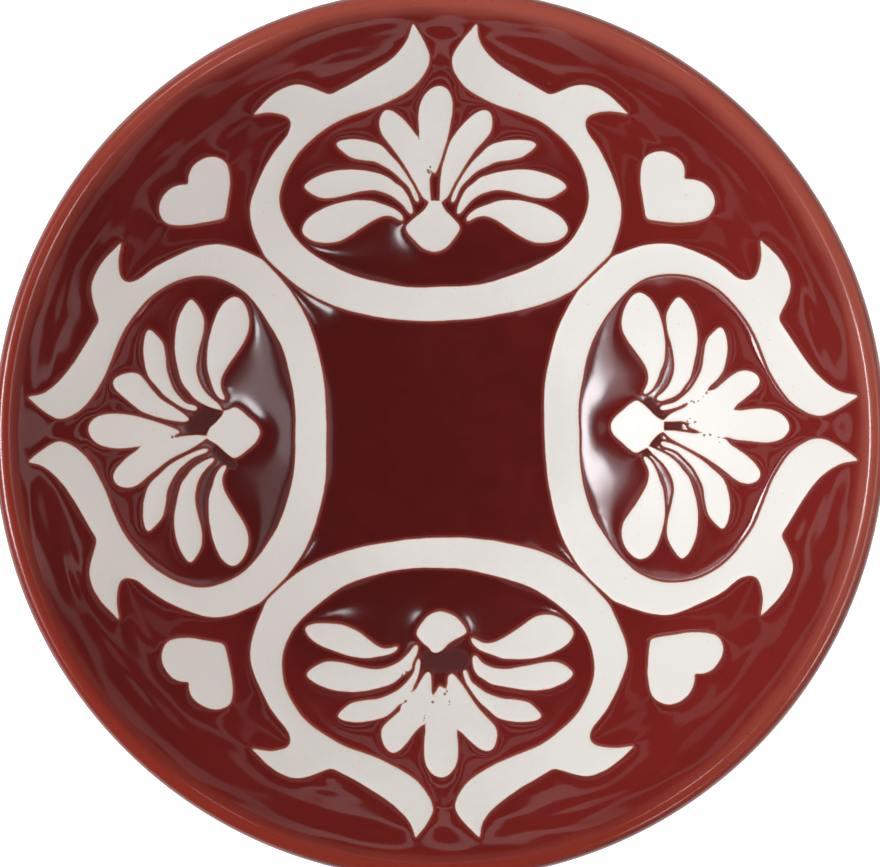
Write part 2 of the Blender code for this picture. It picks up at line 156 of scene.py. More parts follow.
# Where they are on each motif: left side, right side, middle line. The first motif is
# at +Y and the others follow clockwise, as seen from above.
HAND_MARKS = (
    {
        "frame": (
            ((-4.9, 75.1), (-1.7, 68.5), (-19.9, 62.4), (-25.5, 64.1), (-34.0, 58.5),
             (-27.2, 57.7), (-34.6, 42.2), (-29.3, 44.0), (-32.2, 33.1), (-26.3, 36.4),
             (-18.0, 30.7), (-10.0, 28.4), (-10.0, 21.8), (-20.0, 24.3)),
            ((6.8, 75.1), (2.1, 68.5), (20.0, 62.4), (25.5, 64.1), (34.4, 58.6), (26.7, 58.0),
             (33.2, 42.2), (27.3, 44.0), (31.0, 32.4), (24.3, 36.4), (18.0, 31.8), (10.0, 28.9),
             (10.0, 22.3), (20.0, 24.8)),
            ((0.0, 27.8), (0.0, 21.2)),
        ),
        "diamond": (
            ((-6.5, 38.9), (-4.2, 40.9), (-4.7, 36.4)),
            ((3.95, 38.9), (2.2, 40.9), (2.4, 36.4)),
            ((-0.9, 43.9), (-1.0, 34.2)),
        ),
        "petal_1": (
            ((-3.95, 59.5),),
            ((2.35, 59.5),),
            ((0.0, 64.3), (-0.9, 48.2)),
        ),
        "petal_2": (
            ((-9.7, 59.95), (-2.2, 43.3), (-11.1, 57.5), (-5.7, 57.3), (-6.1, 49.4), (-2.2, 50.0)),
            ((8.5, 59.95), (0.5, 43.3), (9.65, 57.5), (4.1, 57.3), (4.3, 49.4), (0.5, 50.0)),
        ),
        "petal_4": (
            ((-19.2, 53.8), (-4.1, 43.2), (-14.4, 54.6), (-13.5, 50.8), (-6.8, 49.5)),
            ((17.9, 53.7), (2.3, 43.2), (13.0, 54.6), (12.0, 50.8), (5.0, 49.5)),
        ),
        "petal_6": (
            ((-25.1, 45.9), (-5.1, 41.0), (-16.6, 49.3), (-13.7, 45.4), (-7.0, 46.2)),
            ((23.5, 45.9), (3.3, 41.0), (15.0, 49.3), (12.0, 45.4), (5.2, 46.2)),
        ),
        "petal_8": (
            ((-25.5, 38.1), (-6.6, 39.8), (-14.2, 43.8), (-15.5, 37.8), (-21.7, 35.8)),
            ((23.75, 38.2), (4.8, 39.7), (12.5, 43.8), (13.8, 37.8), (20.0, 35.8)),
        ),
    },
    {
        "frame": (
            ((-7.1, 75.3), (-3.3, 68.5), (-21.3, 61.4), (-27.0, 63.4), (-35.9, 57.8),
             (-28.6, 56.5), (-35.3, 42.0), (-29.7, 44.0), (-33.0, 31.0), (-28.3, 36.4),
             (-19.2, 29.1), (-10.0, 26.5), (-10.0, 19.5), (-20.0, 22.0)),
            ((4.8, 75.3), (0.6, 68.5), (18.5, 61.9), (24.0, 63.9), (33.7, 57.9), (26.2, 57.0),
             (33.4, 42.0), (27.5, 44.0), (31.1, 32.0), (25.8, 36.4), (16.8, 29.2), (10.0, 26.8),
             (10.0, 20.2), (20.0, 23.0)),
            ((0.0, 25.9), (0.0, 19.3)),
        ),
        "diamond": (
            ((-6.6, 36.5), (-4.7, 38.75), (-4.5, 33.85)),
            ((3.8, 36.4), (1.8, 38.9), (1.6, 33.85)),
            ((-1.55, 41.5), (-1.4, 31.6)),
        ),
        "petal_1": (
            ((-4.85, 58.7),),
            ((1.55, 58.7),),
            ((-1.4, 63.5), (-1.55, 45.3)),
        ),
        "petal_2": (
            ((-10.2, 58.4), (-2.9, 41.1), (-11.9, 56.0), (-6.65, 55.75), (-6.2, 47.5),
             (-2.75, 48.1)),
            ((7.6, 58.5), (-0.35, 41.1), (9.2, 56.3), (3.7, 55.85), (3.6, 47.5), (0.1, 48.1)),
        ),
        "petal_4": (
            ((-20.1, 51.4), (-4.9, 40.3), (-15.3, 52.6), (-14.3, 48.3), (-6.6, 46.95)),
            ((17.8, 51.8), (1.7, 40.6), (12.7, 53.1), (11.6, 48.45), (4.1, 47.3)),
        ),
        "petal_6": (
            ((-25.75, 43.7), (-6.5, 39.8), (-17.7, 47.35), (-14.8, 42.95), (-8.0, 44.5)),
            ((23.4, 44.3), (2.5, 38.4), (15.0, 47.45), (11.5, 42.95), (5.5, 44.07)),
        ),
        "petal_8": (
            ((-26.6, 36.4), (-7.4, 37.4), (-15.2, 41.6), (-16.5, 35.5), (-21.8, 33.6)),
            ((23.5, 36.8), (4.0, 37.4), (12.3, 41.5), (13.3, 36.0), (19.3, 33.6)),
        ),
    },
    {
        "frame": (
            ((-7.3, 73.8), (-2.7, 68.3), (-20.7, 61.4), (-26.5, 62.7), (-35.5, 57.0),
             (-27.6, 56.5), (-34.3, 42.0), (-28.2, 44.0), (-31.4, 31.8), (-26.4, 36.4),
             (-18.0, 29.4), (-10.0, 26.6), (-10.0, 19.9), (-20.0, 22.5)),
            ((4.4, 73.8), (1.1, 68.3), (19.7, 61.4), (25.5, 63.1), (34.3, 57.4), (27.3, 57.0),
             (34.6, 42.0), (28.8, 44.0), (31.9, 31.0), (26.9, 36.4), (18.0, 28.7), (10.0, 26.0),
             (10.0, 20.3), (20.0, 22.8)),
            ((0.0, 25.1), (0.0, 19.3)),
        ),
        "diamond": (
            ((-5.1, 37.3), (-2.9, 38.5), (-3.85, 35.15)),
            ((4.4, 37.6), (2.9, 39.35), (3.25, 35.3)),
            ((0.5, 41.1), (-0.1, 33.2)),
        ),
        "petal_1": (
            ((-3.5, 58.5),),
            ((2.95, 58.5),),
            ((-0.2, 63.3), (0.0, 46.5)),
        ),
        "petal_2": (
            ((-9.0, 58.7), (-2.1, 44.4), (-10.55, 56.0), (-4.75, 56.05), (-6.2, 49.6),
             (-1.5, 50.1)),
            ((8.9, 58.9), (2.1, 44.0), (10.75, 56.0), (5.25, 56.25), (5.5, 49.45), (1.7, 50.0)),
        ),
        "petal_4": (
            ((-18.9, 52.3), (-4.6, 43.8), (-14.4, 53.4), (-13.5, 49.2), (-6.5, 48.9)),
            ((18.9, 52.4), (4.0, 41.7), (14.2, 53.4), (13.2, 49.4), (5.3, 48.1)),
        ),
        "petal_6": (
            ((-24.7, 44.4), (-6.3, 41.2), (-17.0, 47.7), (-14.2, 43.5), (-7.2, 45.3)),
            ((24.7, 44.6), (4.1, 39.2), (16.0, 48.0), (13.0, 43.7), (6.2, 44.7)),
        ),
        "petal_8": (
            ((-24.8, 36.9), (-5.6, 37.9), (-13.4, 42.1), (-14.7, 36.15), (-20.5, 33.75)),
            ((24.9, 36.4), (7.6, 39.6), (14.6, 41.85), (15.0, 36.9), (21.2, 35.3)),
        ),
    },
    {
        "frame": (
            ((-5.1, 74.1), (-1.2, 68.5), (-19.5, 62.1), (-25.5, 63.3), (-34.3, 57.8),
             (-26.7, 57.3), (-33.9, 42.0), (-28.4, 44.0), (-31.5, 33.0), (-25.9, 36.4),
             (-18.0, 30.4), (-10.0, 27.7), (-10.0, 21.3), (-20.0, 24.2)),
            ((6.9, 74.1), (2.7, 68.5), (20.8, 61.7), (26.5, 63.0), (35.4, 57.4), (28.2, 57.0),
             (35.2, 42.0), (29.4, 44.0), (32.7, 32.6), (26.9, 36.4), (18.0, 30.0), (10.0, 27.6),
             (10.0, 21.4), (20.0, 23.9)),
            ((0.0, 26.8), (0.0, 20.9)),
        ),
        "diamond": (
            ((-4.7, 38.0), (-3.0, 40.1), (-2.8, 35.45)),
            ((5.4, 37.9), (3.4, 40.4), (3.2, 35.4)),
            ((-0.1, 43.0), (0.4, 33.2)),
        ),
        "petal_1": (
            ((-2.6, 59.1),),
            ((3.9, 59.1),),
            ((0.9, 63.9), (0.4, 47.4)),
        ),
        "petal_2": (
            ((-8.1, 59.5), (-0.5, 42.8), (-9.95, 57.2), (-4.05, 56.85), (-4.4, 48.9),
             (-0.75, 49.5)),
            ((9.8, 59.5), (2.7, 45.8), (11.5, 56.4), (6.15, 56.85), (6.4, 50.8), (3.05, 51.3)),
        ),
        "petal_4": (
            ((-18.2, 53.3), (-2.9, 42.5), (-13.4, 54.2), (-12.4, 50.1), (-5.3, 49.0)),
            ((19.6, 53.1), (4.8, 44.5), (15.0, 54.1), (14.0, 50.1), (6.5, 49.7)),
        ),
        "petal_6": (
            ((-24.1, 45.6), (-4.5, 41.4), (-15.9, 48.75), (-12.9, 44.8), (-6.9, 46.0)),
            ((25.4, 45.4), (4.8, 40.0), (16.7, 48.6), (13.7, 44.6), (6.85, 45.4)),
        ),
        "petal_8": (
            ((-24.7, 38.0), (-5.6, 39.2), (-13.4, 42.6), (-14.7, 37.3), (-20.9, 35.3)),
            ((25.8, 37.6), (6.3, 39.5), (14.2, 42.9), (15.6, 37.2), (21.7, 35.1)),
        ),
    },
)

# Heart: tip, notch, lobes and sides, as drawn and as each heart has them
HEART_MARKS = ((0.0, 55.0), (0.0, 65.1), (-3.9, 66.1), (3.9, 66.1), (-7.9, 62.3), (7.9, 62.3))
HAND_HEARTS = (
    ((-1.5, 54.8), (-1.8, 65.3), (-5.0, 66.3), (2.2, 66.4), (-9.8, 62.7), (6.1, 62.7)),
    ((-0.4, 54.0), (-1.6, 64.6), (-5.0, 65.4), (2.5, 65.6), (-9.4, 62.0), (6.9, 62.0)),
    ((0.4, 55.2), (0.0, 65.0), (-3.5, 65.8), (3.5, 65.8), (-8.2, 62.2), (8.0, 62.2)),
    ((0.5, 56.0), (0.2, 65.4), (-3.5, 66.3), (3.9, 66.3), (-7.7, 63.0), (8.0, 63.0)),
)

# Places where two figures run into each other: motif, start, end and half width of the
# place, in the motif's own plan
JOINED_PLACES = (
    (0, (-3.1, 54.6), (-1.9, 50.6), 1.0),
    (0, (-2.3, 43.6), (-2.3, 42.9), 0.9),
    (0, (0.5, 43.6), (0.5, 42.9), 0.9),
    (1, (-4.5, 53.2), (-2.7, 49.0), 1.0),
    (1, (-2.8, 41.6), (-2.8, 40.9), 0.9),
    (1, (-0.35, 41.6), (-0.35, 40.9), 0.9),
    (1, (2.6, 38.7), (2.4, 38.1), 0.6),
    (2, (-3.2, 54.0), (-1.6, 50.2), 1.0),
    (3, (-2.1, 54.0), (-1.0, 50.8), 1.0),
    (3, (-0.6, 43.3), (-0.4, 42.6), 0.9),
    (3, (4.7, 40.2), (4.5, 39.7), 0.6),
)

# Places where the red line between two figures broke up into dots
BROKEN_LINES = (
    (0, (-2.3, 50.4), (-1.7, 47.8), 0.5),
    (1, (-8.0, 49.8), (-5.6, 46.0), 0.5),
    (1, (-2.8, 48.6), (-2.4, 45.8), 0.5),
    (1, (1.3, 52.3), (-0.2, 48.0), 0.45),
    (2, (-1.5, 50.0), (-0.8, 47.0), 0.5),
    (2, (2.7, 53.8), (1.2, 48.9), 0.5),
    (2, (6.6, 50.6), (5.0, 48.2), 0.5),
    (2, (7.1, 45.8), (5.6, 43.9), 0.5),
    (3, (-0.9, 50.6), (-0.5, 49.2), 0.5),
)

# Places where the ground is thin, dark and dry
DRY_PATCHES = (
    (1, (-6.2, 38.6), (-3.4, 41.0), 0.9),
    (1, (-1.5, 41.8), (-1.5, 44.0), 0.7),
    (1, (1.0, 40.2), (3.4, 38.2), 0.9),
    (2, (-3.4, 42.4), (2.0, 42.6), 2.0),
    (3, (1.6, 44.6), (3.6, 42.6), 2.2),
    (3, (-5.6, 38.6), (-3.0, 41.2), 0.9),
)


def length(name, description, millimetres):
    return FloatProperty(name=name, description=description, default=millimetres * MM,
                         unit="LENGTH", precision=5)


def colour(name, description, default):
    return FloatVectorProperty(name=name, description=description, default=default,
                               subtype="COLOR")


def brightness(name, description, default):
    return FloatProperty(name=name, description=description, default=default, min=0.0)


class BowlSizes(bpy.types.PropertyGroup):
    """Sizes of the thrown bowl and its coats"""

    rim_radius: length("Rim Radius", "Radius over the glazed lip", CAD_BOX[1][0] / MM - 0.02)
    height: length(
        "Height", "Height from the table to the top of the glazed lip", CAD_BOX[1][2] / MM - 0.01)
    lip_radius: length("Lip Radius", "Rounding of the clay at the lip", 1.3)
    wall: length("Wall", "Thickness of the wall above the foot", 5.5)
    floor: length("Floor", "Thickness of the floor inside the foot", 5.0)
    floor_radius: length("Floor Radius", "Radius of the flat of the floor", 21.0)
    knee_radius: length("Knee Radius", "Radius of the bend between floor and wall", 28.0)
    knee_slope: FloatProperty(
        name="Knee Slope", description="Slope of the wall where the bend ends",
        default=math.radians(21.0), subtype="ANGLE")
    foot_radius: length("Foot Radius", "Outer radius of the foot ring", 33.0)
    foot_width: length("Foot Width", "Width of the foot ring", 6.0)
    foot_depth: length("Foot Depth", "Height of the foot ring", 5.0)
    seat: length("Seat", "Gap between the clay and what lies on it", 0.3)
    ground: length("Ground", "Thickness of the red ground", 0.9)
    figure: length("Figure", "Thickness of the white figures", 0.5)
    lip_coat: length("Lip Coat", "Thickness of the glaze over the lip", 0.4)
    outside_coat: length("Outside Coat", "Thickness of the glaze outside", 0.6)
    bead_reach: length(
        "Bead Reach", "How far from a figure the ground reaches its thickness", 0.85)
    steps: IntProperty(
        name="Steps", description="Steps of a turned piece round its axis",
        default=240, min=24, max=360)


class BowlColours(bpy.types.PropertyGroup):
    """Colours of the clay and the glazes"""

    deep_red: colour("Deep Red", "Thick ground glaze", (0.070, 0.0052, 0.0045))
    # Pale red: the ground where it thins beside the figures, and its lighter right side, which is
    # painted light from the lamp on the left
    pale_and_lit_red: colour(
        "Pale And Lit Red", "Ground glaze where it is paler, on the right", (0.186, 0.0135, 0.0105))
    edge_brown: colour(
        "Edge Brown", "Thin edge of the glaze beside a figure", (0.300, 0.070, 0.028))
    lip_red: colour("Lip Red", "Thin glaze over the lip", (0.215, 0.022, 0.012))
    # Painted sheen: the lip is painted paler at the back on the right, as a soft lamp's reflection
    # in it
    lip_sheen: colour(
        "Lip Sheen", "Lip glaze where it is palest, at the back on the right",
        (0.330, 0.066, 0.044))
    outside_red: colour("Outside Red", "Glaze on the outside", (0.190, 0.026, 0.016))
    white: colour("White", "White figures", (0.765, 0.740, 0.695))
    clay: colour("Clay", "Bare fired clay", (0.420, 0.150, 0.075))
    table: colour("Table", "Floor under the bowl", (0.860, 0.860, 0.860))


class BowlStage(bpy.types.PropertyGroup):
    """Camera and light"""

    camera_height: FloatProperty(
        name="Camera Height", description="Height of the camera above the table",
        default=0.85, unit="LENGTH")
    key: brightness("Key", "Brightness of the small softbox on the left", 22.0)
    halo: brightness("Halo", "Brightness of the wider cloth round the small softbox", 2.2)
    fill: brightness("Fill", "Brightness of the softbox on the right", 2.6)
    spot: brightness(
        "Spot", "Brightness of the small lamps in front, behind and on the right", 17.0)
    left: brightness("Left Cloth", "Brightness of the wide low light on the left", 2.1)
    right: brightness("Right Cloth", "Brightness of the wide low light on the right", 1.9)
    overhead: brightness("Overhead", "Brightness of the wide soft light overhead", 0.6)
    surround: brightness("Surround", "Brightness of the room", 1.0)


# The bowl's shape


class Profile:
    """Inside line of the clay: flat floor, knee arc, wall arc, up to the round lip."""

    def __init__(self, sizes):
        self.sizes = sizes
        lip_coated = sizes.lip_radius + sizes.seat + sizes.lip_coat
        self.floor_z = sizes.foot_depth + sizes.floor
        self.lip_r = sizes.rim_radius - lip_coated
        self.lip_z = sizes.height - lip_coated
        self.knee_r = sizes.floor_radius + sizes.knee_radius * math.sin(sizes.knee_slope)
        self.knee_z = self.floor_z + sizes.knee_radius * (1 - math.cos(sizes.knee_slope))
        self.end_slope = self.solve_end_slope()
        self.end_r = self.lip_r - sizes.lip_radius * math.sin(self.end_slope)
        rise = math.sin(self.end_slope) - math.sin(sizes.knee_slope)
        self.wall_radius = (self.end_r - self.knee_r) / rise

    def solve_end_slope(self):
        """Slope at which an arc that leaves the knee smoothly touches the round lip."""
        knee_slope, lip_radius = self.sizes.knee_slope, self.sizes.lip_radius
        slope = 2 * knee_slope
        for _ in range(30):
            run = self.lip_r - lip_radius * math.sin(slope) - self.knee_r
            rise = self.lip_z + lip_radius * math.cos(slope) - self.knee_z
            slope = 2 * math.atan2(rise, run) - knee_slope
        return slope

    def at(self, r):
        """Height and slope of the inside at radius r."""
        sizes = self.sizes
        if r <= sizes.floor_radius:
            return self.floor_z, 0.0
        if r <= self.knee_r:
            slope = math.asin((r - sizes.floor_radius) / sizes.knee_radius)
            return self.floor_z + sizes.knee_radius * (1 - math.cos(slope)), slope
        rise = (r - self.knee_r) / self.wall_radius
        slope = math.asin(math.sin(sizes.knee_slope) + rise)
        drop = math.cos(sizes.knee_slope) - math.cos(slope)
        return self.knee_z + self.wall_radius * drop, slope

    def lifted(self, r, lift):
        """Radius and height of the point that is lift above the inside at radius r."""
        z, slope = self.at(r)
        return r - lift * math.sin(slope), z + lift * math.cos(slope)

    def outside(self, share, lift=0.0):
        """Radius and height on the outer wall, from the knee at 0 to the lip at 1."""
        r = self.knee_r + (self.end_r - self.knee_r) * share
        wall = self.sizes.wall
        thickness = wall + (2 * self.sizes.lip_radius - wall) * share
        return self.lifted(r, -thickness - lift)

    def outside_share(self, radius):
        """How far up the outer wall it reaches the given radius."""
        low, high = 0.0, 1.0
        for _ in range(40):
            middle = (low + high) / 2
            if self.outside(middle)[0] < radius:
                low = middle
            else:
                high = middle
        return low

    def lip_arc(self, lift, steps):
        """The round of the lip from the inside to the outside, lift above the clay."""
        start = math.pi / 2 + self.end_slope
        radius = self.sizes.lip_radius + lift
        angles = [start - math.pi * i / steps for i in range(steps + 1)]
        return [(self.lip_r + radius * math.cos(a), self.lip_z + radius * math.sin(a))
                for a in angles]


def spaced(start, end, pitch):
    """Evenly spaced values from start to end, with both ends."""
    steps = max(1, round(abs(end - start) / pitch))
    return [start + (end - start) * i / steps for i in range(steps + 1)]


def eased(value, start, end):
    """0 before start and 1 after end, with a smooth rise between."""
    t = min(1.0, max(0.0, (value - start) / (end - start)))
    return t * t * (3 - 2 * t)


# Making and placing pieces


SHARP_ANGLE = math.radians(38.0)


def placed(bm, name, surface, nodes):
    """Turn a finished mesh into the piece that stands for the CAD nodes."""
    bmesh.ops.recalc_face_normals(bm, faces=bm.faces)
    mesh = bpy.data.meshes.new(name)
    bm.to_mesh(mesh)
    bm.free()
    mesh.materials.append(surface)
    mesh.shade_smooth()
    mesh.set_sharp_from_angle(angle=SHARP_ANGLE)
    piece = bpy.data.objects.new(name, mesh)
    bpy.context.scene.collection.objects.link(piece)
    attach(piece, "root")
    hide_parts(*nodes)
    return piece


def turned(section, steps):
    """Revolve a section of (radius, height) points about the bowl's axis."""
    bm = bmesh.new()
    points = [bm.verts.new((r, 0.0, z)) for r, z in section]
    edges = [bm.edges.new(pair) for pair in zip(points, points[1:])]
    if section[0][0] > 0:
        edges.append(bm.edges.new((points[-1], points[0])))
    bmesh.ops.spin(bm, geom=points + edges, cent=(0, 0, 0), axis=(0, 0, 1),
                   angle=math.tau, steps=steps, use_merge=True)
    bmesh.ops.remove_doubles(bm, verts=bm.verts, dist=1e-6)
    return bm


# Drawing in plan


def bezier(points, t):
    points = [Vector(p) for p in points]
    while len(points) > 1:
        points = [a.lerp(b, t) for a, b in zip(points, points[1:])]
    return points[0]


def smooth_run(run, steps=12):
    """A smooth line through the points of one run (centripetal Catmull-Rom)."""
    points = [Vector(point) for point in run]
    if len(points) == 2:
        return points
    points = [2 * points[0] - points[1]] + points + [2 * points[-1] - points[-2]]
    line = []
    for p0, p1, p2, p3 in zip(points, points[1:], points[2:], points[3:]):
        t1 = math.sqrt((p1 - p0).length)
        t2 = t1 + math.sqrt((p2 - p1).length)
        t3 = t2 + math.sqrt((p3 - p2).length)
        for i in range(steps):
            t = t1 + (t2 - t1) * i / steps
            a1 = p0.lerp(p1, t / t1)
            a2 = p1.lerp(p2, (t - t1) / (t2 - t1))
            a3 = p2.lerp(p3, (t - t2) / (t3 - t2))
            b1 = a1.lerp(a2, t / t2)
            b2 = a2.lerp(a3, (t - t1) / (t3 - t1))
            line.append(b1.lerp(b2, (t - t1) / (t2 - t1)))
    return line + [points[-2]]


OUTLINE_PITCH = 0.42


def evenly(points, pitch=OUTLINE_PITCH):
    """The same line with its points at an even pitch and its ends kept."""
    reach = [0.0]
    for a, b in zip(points, points[1:]):
        reach.append(reach[-1] + (b - a).length)
    line, i = [], 0
    for along in spaced(0.0, reach[-1], pitch):
        while i < len(points) - 2 and reach[i + 1] < along:
            i += 1
        t = (along - reach[i]) / max(reach[i + 1] - reach[i], 1e-9)
        line.append(points[i].lerp(points[i + 1], min(1.0, t)))
    return line


def with_neighbours(outline):
    """Each point of a closed outline between the ones before and after it."""
    return zip(outline[-1:] + outline, outline, outline[1:] + outline[:1])


def rounded(outline, passes=2):
    """The closed outline with its corners a little rounded."""
    for _ in range(passes):
        outline = [(a + 2 * b + c) / 4 for a, b, c in with_neighbours(outline)]
    return outline


def symmetric_outline(runs):
    """Outline from its right-hand half, whose runs start and end at x = 0."""
    half = []
    for run in runs:
        half = half[:-1] + evenly(smooth_run(run))
    return half + [Vector((-p.x, p.y)) for p in reversed(half[1:-1])]


def petal_outline(run, side):
    """Outline of a petal that is drawn all the way round; side is -1 for its mirror."""
    outline = evenly(smooth_run(run))[:-1]
    return [Vector((side * p.x, p.y)) for p in outline[::side]]


class Hand:
    """A smooth bending of the plane that carries each mark to where the hand put it."""

    def __init__(self, drawn, painted, stiffness=0.3):
        self.drawn = np.array(drawn)
        count = len(drawn)
        plane = np.column_stack([np.ones(count), self.drawn])
        pull = np.zeros((count + 3, count + 3))
        pull[:count, :count] = self.bend(self.drawn) + stiffness * np.eye(count)
        pull[:count, count:] = plane
        pull[count:, :count] = plane.T
        aims = np.zeros((count + 3, 2))
        aims[:count] = painted
        self.weights = np.linalg.solve(pull, aims)

    def bend(self, points):
        gaps = ((points[:, None] - self.drawn[None]) ** 2).sum(axis=2)
        return gaps * np.log(gaps + 1e-12) / 2

    def moved(self, outline):
        points = np.array([tuple(p) for p in outline])
        terms = np.column_stack([self.bend(points), np.ones(len(points)), points])
        return [Vector(p) for p in terms @ self.weights]


def quarter_turned(points, quarters):
    """Turn an outline drawn at +Y clockwise, as seen from above."""
    c, s = math.cos(quarters * math.pi / 2), math.sin(quarters * math.pi / 2)
    return [Vector((p.x * c + p.y * s, p.y * c - p.x * s)) for p in points]


# The painted figures lie a little wider across the bowl than from front to back
OVAL = (1.0071, 0.9929)


# How far the brush strays, its waves per millimetre, and where each lies in the noise.
# Without a seed Blender's vector noise changes from run to run
BRUSH = ((0.10, 0.22, 0.0), (0.05, 0.9, 7.0))
BRUSH_SEED = 3


def painted(outline, quarters, seed):
    """An outline in its place, with the small unevenness of a brush."""
    line = []
    for p in quarter_turned(rounded(outline), quarters):
        moved = p = Vector((p.x * OVAL[0], p.y * OVAL[1]))
        for reach, scale, start in BRUSH:
            wave = noise.noise_vector(Vector((p.x * scale, p.y * scale, seed + start)))
            moved = moved + reach * wave.xy
        line.append(moved)
    return line


def mirrored_marks(marks):
    return [(-x, y) for x, y in marks]


# Line of ground kept between neighbours, their overlap where they run together, how near
# the neighbours must be, the most they are moved, and the share they move in each of the
# passes
FIGURE_GAP = 0.44
OVERLAP = 0.30
NEIGHBOUR = 2.0
LONGEST_MOVE = 3.0
PASSES, PASS_SHARE = 3, 0.55

# Where a place ends and how wide its blurred edge is, as shares of its half width
PLACE_EDGE, PLACE_BLUR = 1.3, 0.6


def place_share(point, motif, start, end, half_width):
    """How deep a point lies in a place between two ends, 1 in its middle and 0 outside."""
    own = quarter_turned([Vector((point.x / OVAL[0], point.y / OVAL[1]))], -motif)[0]
    gap = to_segment(own, Vector(start), Vector(end)).length
    return eased(half_width * PLACE_EDGE - gap, 0.0, half_width * PLACE_BLUR)


def deepest(points, places):
    return [max(place_share(point, *place) for place in places) for point in points]


def parted(figures):
    """The figures with a line of ground kept between neighbours that nearly touch, and
    run together where the painter let them."""
    for _ in range(PASSES):
        moved = {}
        for name, outline in figures.items():
            others = Edges([other for key, other in figures.items() if key != name])
            line = []
            for point in outline:
                inset, way = others.nearest(point)
                joined = 0.0
                if inset > -NEIGHBOUR and "frame" not in name:
                    joined = max(place_share(point, *place)
                                 for place in JOINED_PLACES + BROKEN_LINES)
                wanted = FIGURE_GAP - (FIGURE_GAP + OVERLAP) * joined
                short = wanted + inset
                if 0 < short < LONGEST_MOVE or (joined > 0 and inset > -0.9):
                    away = -way.normalized() if inset > 0 else way.normalized()
                    point = point + away * short * PASS_SHARE
                line.append(point)
            moved[name] = line
        figures = moved
    return {name: rounded(outline, 1) for name, outline in figures.items()}


def moved_by_hand(motif, piece, outline):
    """A piece of a motif as the painter's hand moved it. Petals 2, 4, 6 and 8 are on the
    left, and the ones that follow them are their mirror images."""
    kind, number = piece.split("_")[0], int((piece.split("_") + ["1"])[1])
    if number == 1:
        side, middle = MARKS[piece]
        drawn = mirrored_marks(side) + list(side) + list(middle)
        aims = [mark for part in HAND_MARKS[motif][piece] for mark in part]
        return Hand(drawn, aims).moved(outline)
    pair = f"{kind}_{number // 2 * 2}"
    (side,), (left, right) = MARKS[pair], HAND_MARKS[motif][pair]
    if number % 2 == 0:
        return Hand(mirrored_marks(side), left).moved(outline)
    return Hand(side, right).moved(outline)


@cache
def ornament():
    """Name and painted outline of every figure, in plan."""
    noise.seed_set(BRUSH_SEED)
    drawing = {"frame": symmetric_outline(FRAME_RUNS), "diamond": symmetric_outline(DIAMOND_RUNS)}
    drawing["petal_1"] = symmetric_outline(MIDDLE_PETAL_RUNS)
    for i, run in enumerate(PETAL_RUNS):
        drawing[f"petal_{2 * i + 2}"] = petal_outline(run, -1)
        drawing[f"petal_{2 * i + 3}"] = petal_outline(run, 1)
    heart = symmetric_outline(HEART_RUNS)
    figures = {}
    for motif in range(4):
        for piece, outline in drawing.items():
            name = f"palmette_{motif + 1}_{piece}"
            figures[name] = painted(moved_by_hand(motif, piece, outline), motif, motif)
        hand = Hand(HEART_MARKS, HAND_HEARTS[motif])
        name = f"heart_{motif + 1}"
        figures[name] = painted(hand.moved(heart), motif + 0.5, motif + 4)
    return parted(figures)


def widened(points, margin):
    """The outline moved outwards by a margin; sharp tips don't grow into spikes."""
    moved = []
    for before, point, after in with_neighbours(points):
        first = (point - before).normalized()
        second = (after - point).normalized()
        normal = Vector((first.y + second.y, -first.x - second.x)).normalized()
        stretch = max(0.6, normal.dot(Vector((first.y, -first.x))))
        moved.append(point + normal * margin / stretch)
    return moved


def covered(points, outlines):
    """Which of the plan points lie inside any of the outlines."""
    points = np.array([tuple(p) for p in points])
    inside = np.zeros(len(points), dtype=bool)
    for outline in outlines:
        ring = np.array([tuple(p) for p in outline])
        within = ((points > ring.min(axis=0)) & (points < ring.max(axis=0))).all(axis=1)
        near = np.flatnonzero(within)
        if len(near) == 0:
            continue
        x, y = points[near].T
        odd = np.zeros(len(near), dtype=bool)
        for a, b in zip(ring, np.roll(ring, -1, axis=0)):
            rise = b[1] - a[1] or 1e-9
            odd ^= ((a[1] > y) != (b[1] > y)) & (x < a[0] + (b[0] - a[0]) * (y - a[1]) / rise)
        inside[near] |= odd
    return inside


class Edges:
    """Signed distance in plan from any point to the nearest of some closed outlines that
    run anticlockwise: above zero inside them. Hidden points are left out."""

    def __init__(self, outlines, hidden=None):
        self.corners = [corner for i, outline in enumerate(outlines)
                        for j, corner in enumerate(with_neighbours(outline))
                        if hidden is None or not hidden[i][j]]
        self.tree = kdtree.KDTree(len(self.corners))
        for i, (_, point, _) in enumerate(self.corners):
            self.tree.insert(point.to_3d(), i)
        self.tree.balance()

    def inset(self, point):
        """How far inside the nearest outline a point is, below zero outside."""
        return self.nearest(point)[0]

    def nearest(self, point):
        """The signed distance, and the way to the point from the nearest outline."""
        _, i, _ = self.tree.find(point.to_3d())
        before, here, after = self.corners[i]
        first, second = to_segment(point, before, here), to_segment(point, here, after)
        gap = min(first.length, second.length)
        side = Vector((0.0, 0.0))
        if first.length < gap + 1e-6:
            side += (here - before).normalized()
        if second.length < gap + 1e-6:
            side += (after - here).normalized()
        way = first if first.length < second.length else second
        return math.copysign(gap, side.cross(way)), way


def to_segment(point, a, b):
    """The way from the nearest point of the line from a to b."""
    along = b - a
    t = (point - a).dot(along) / max(along.length_squared, 1e-12)
    return point - a - along * min(1.0, max(0.0, t))


@cache
def seen_edges():
    """The edges of all the figures, without those that lie inside another figure."""
    outlines = list(ornament().values())
    hidden = [covered(outline, outlines[:i] + outlines[i + 1:])
              for i, outline in enumerate(outlines)]
    return Edges(outlines, hidden)


def seen_insets(points):
    """How far inside the figures the plan points lie, below zero outside them."""
    gaps = np.array([abs(seen_edges().inset(point)) for point in points])
    return np.where(covered(points, list(ornament().values())), gaps, -gaps)


# Laying the drawing on the wall


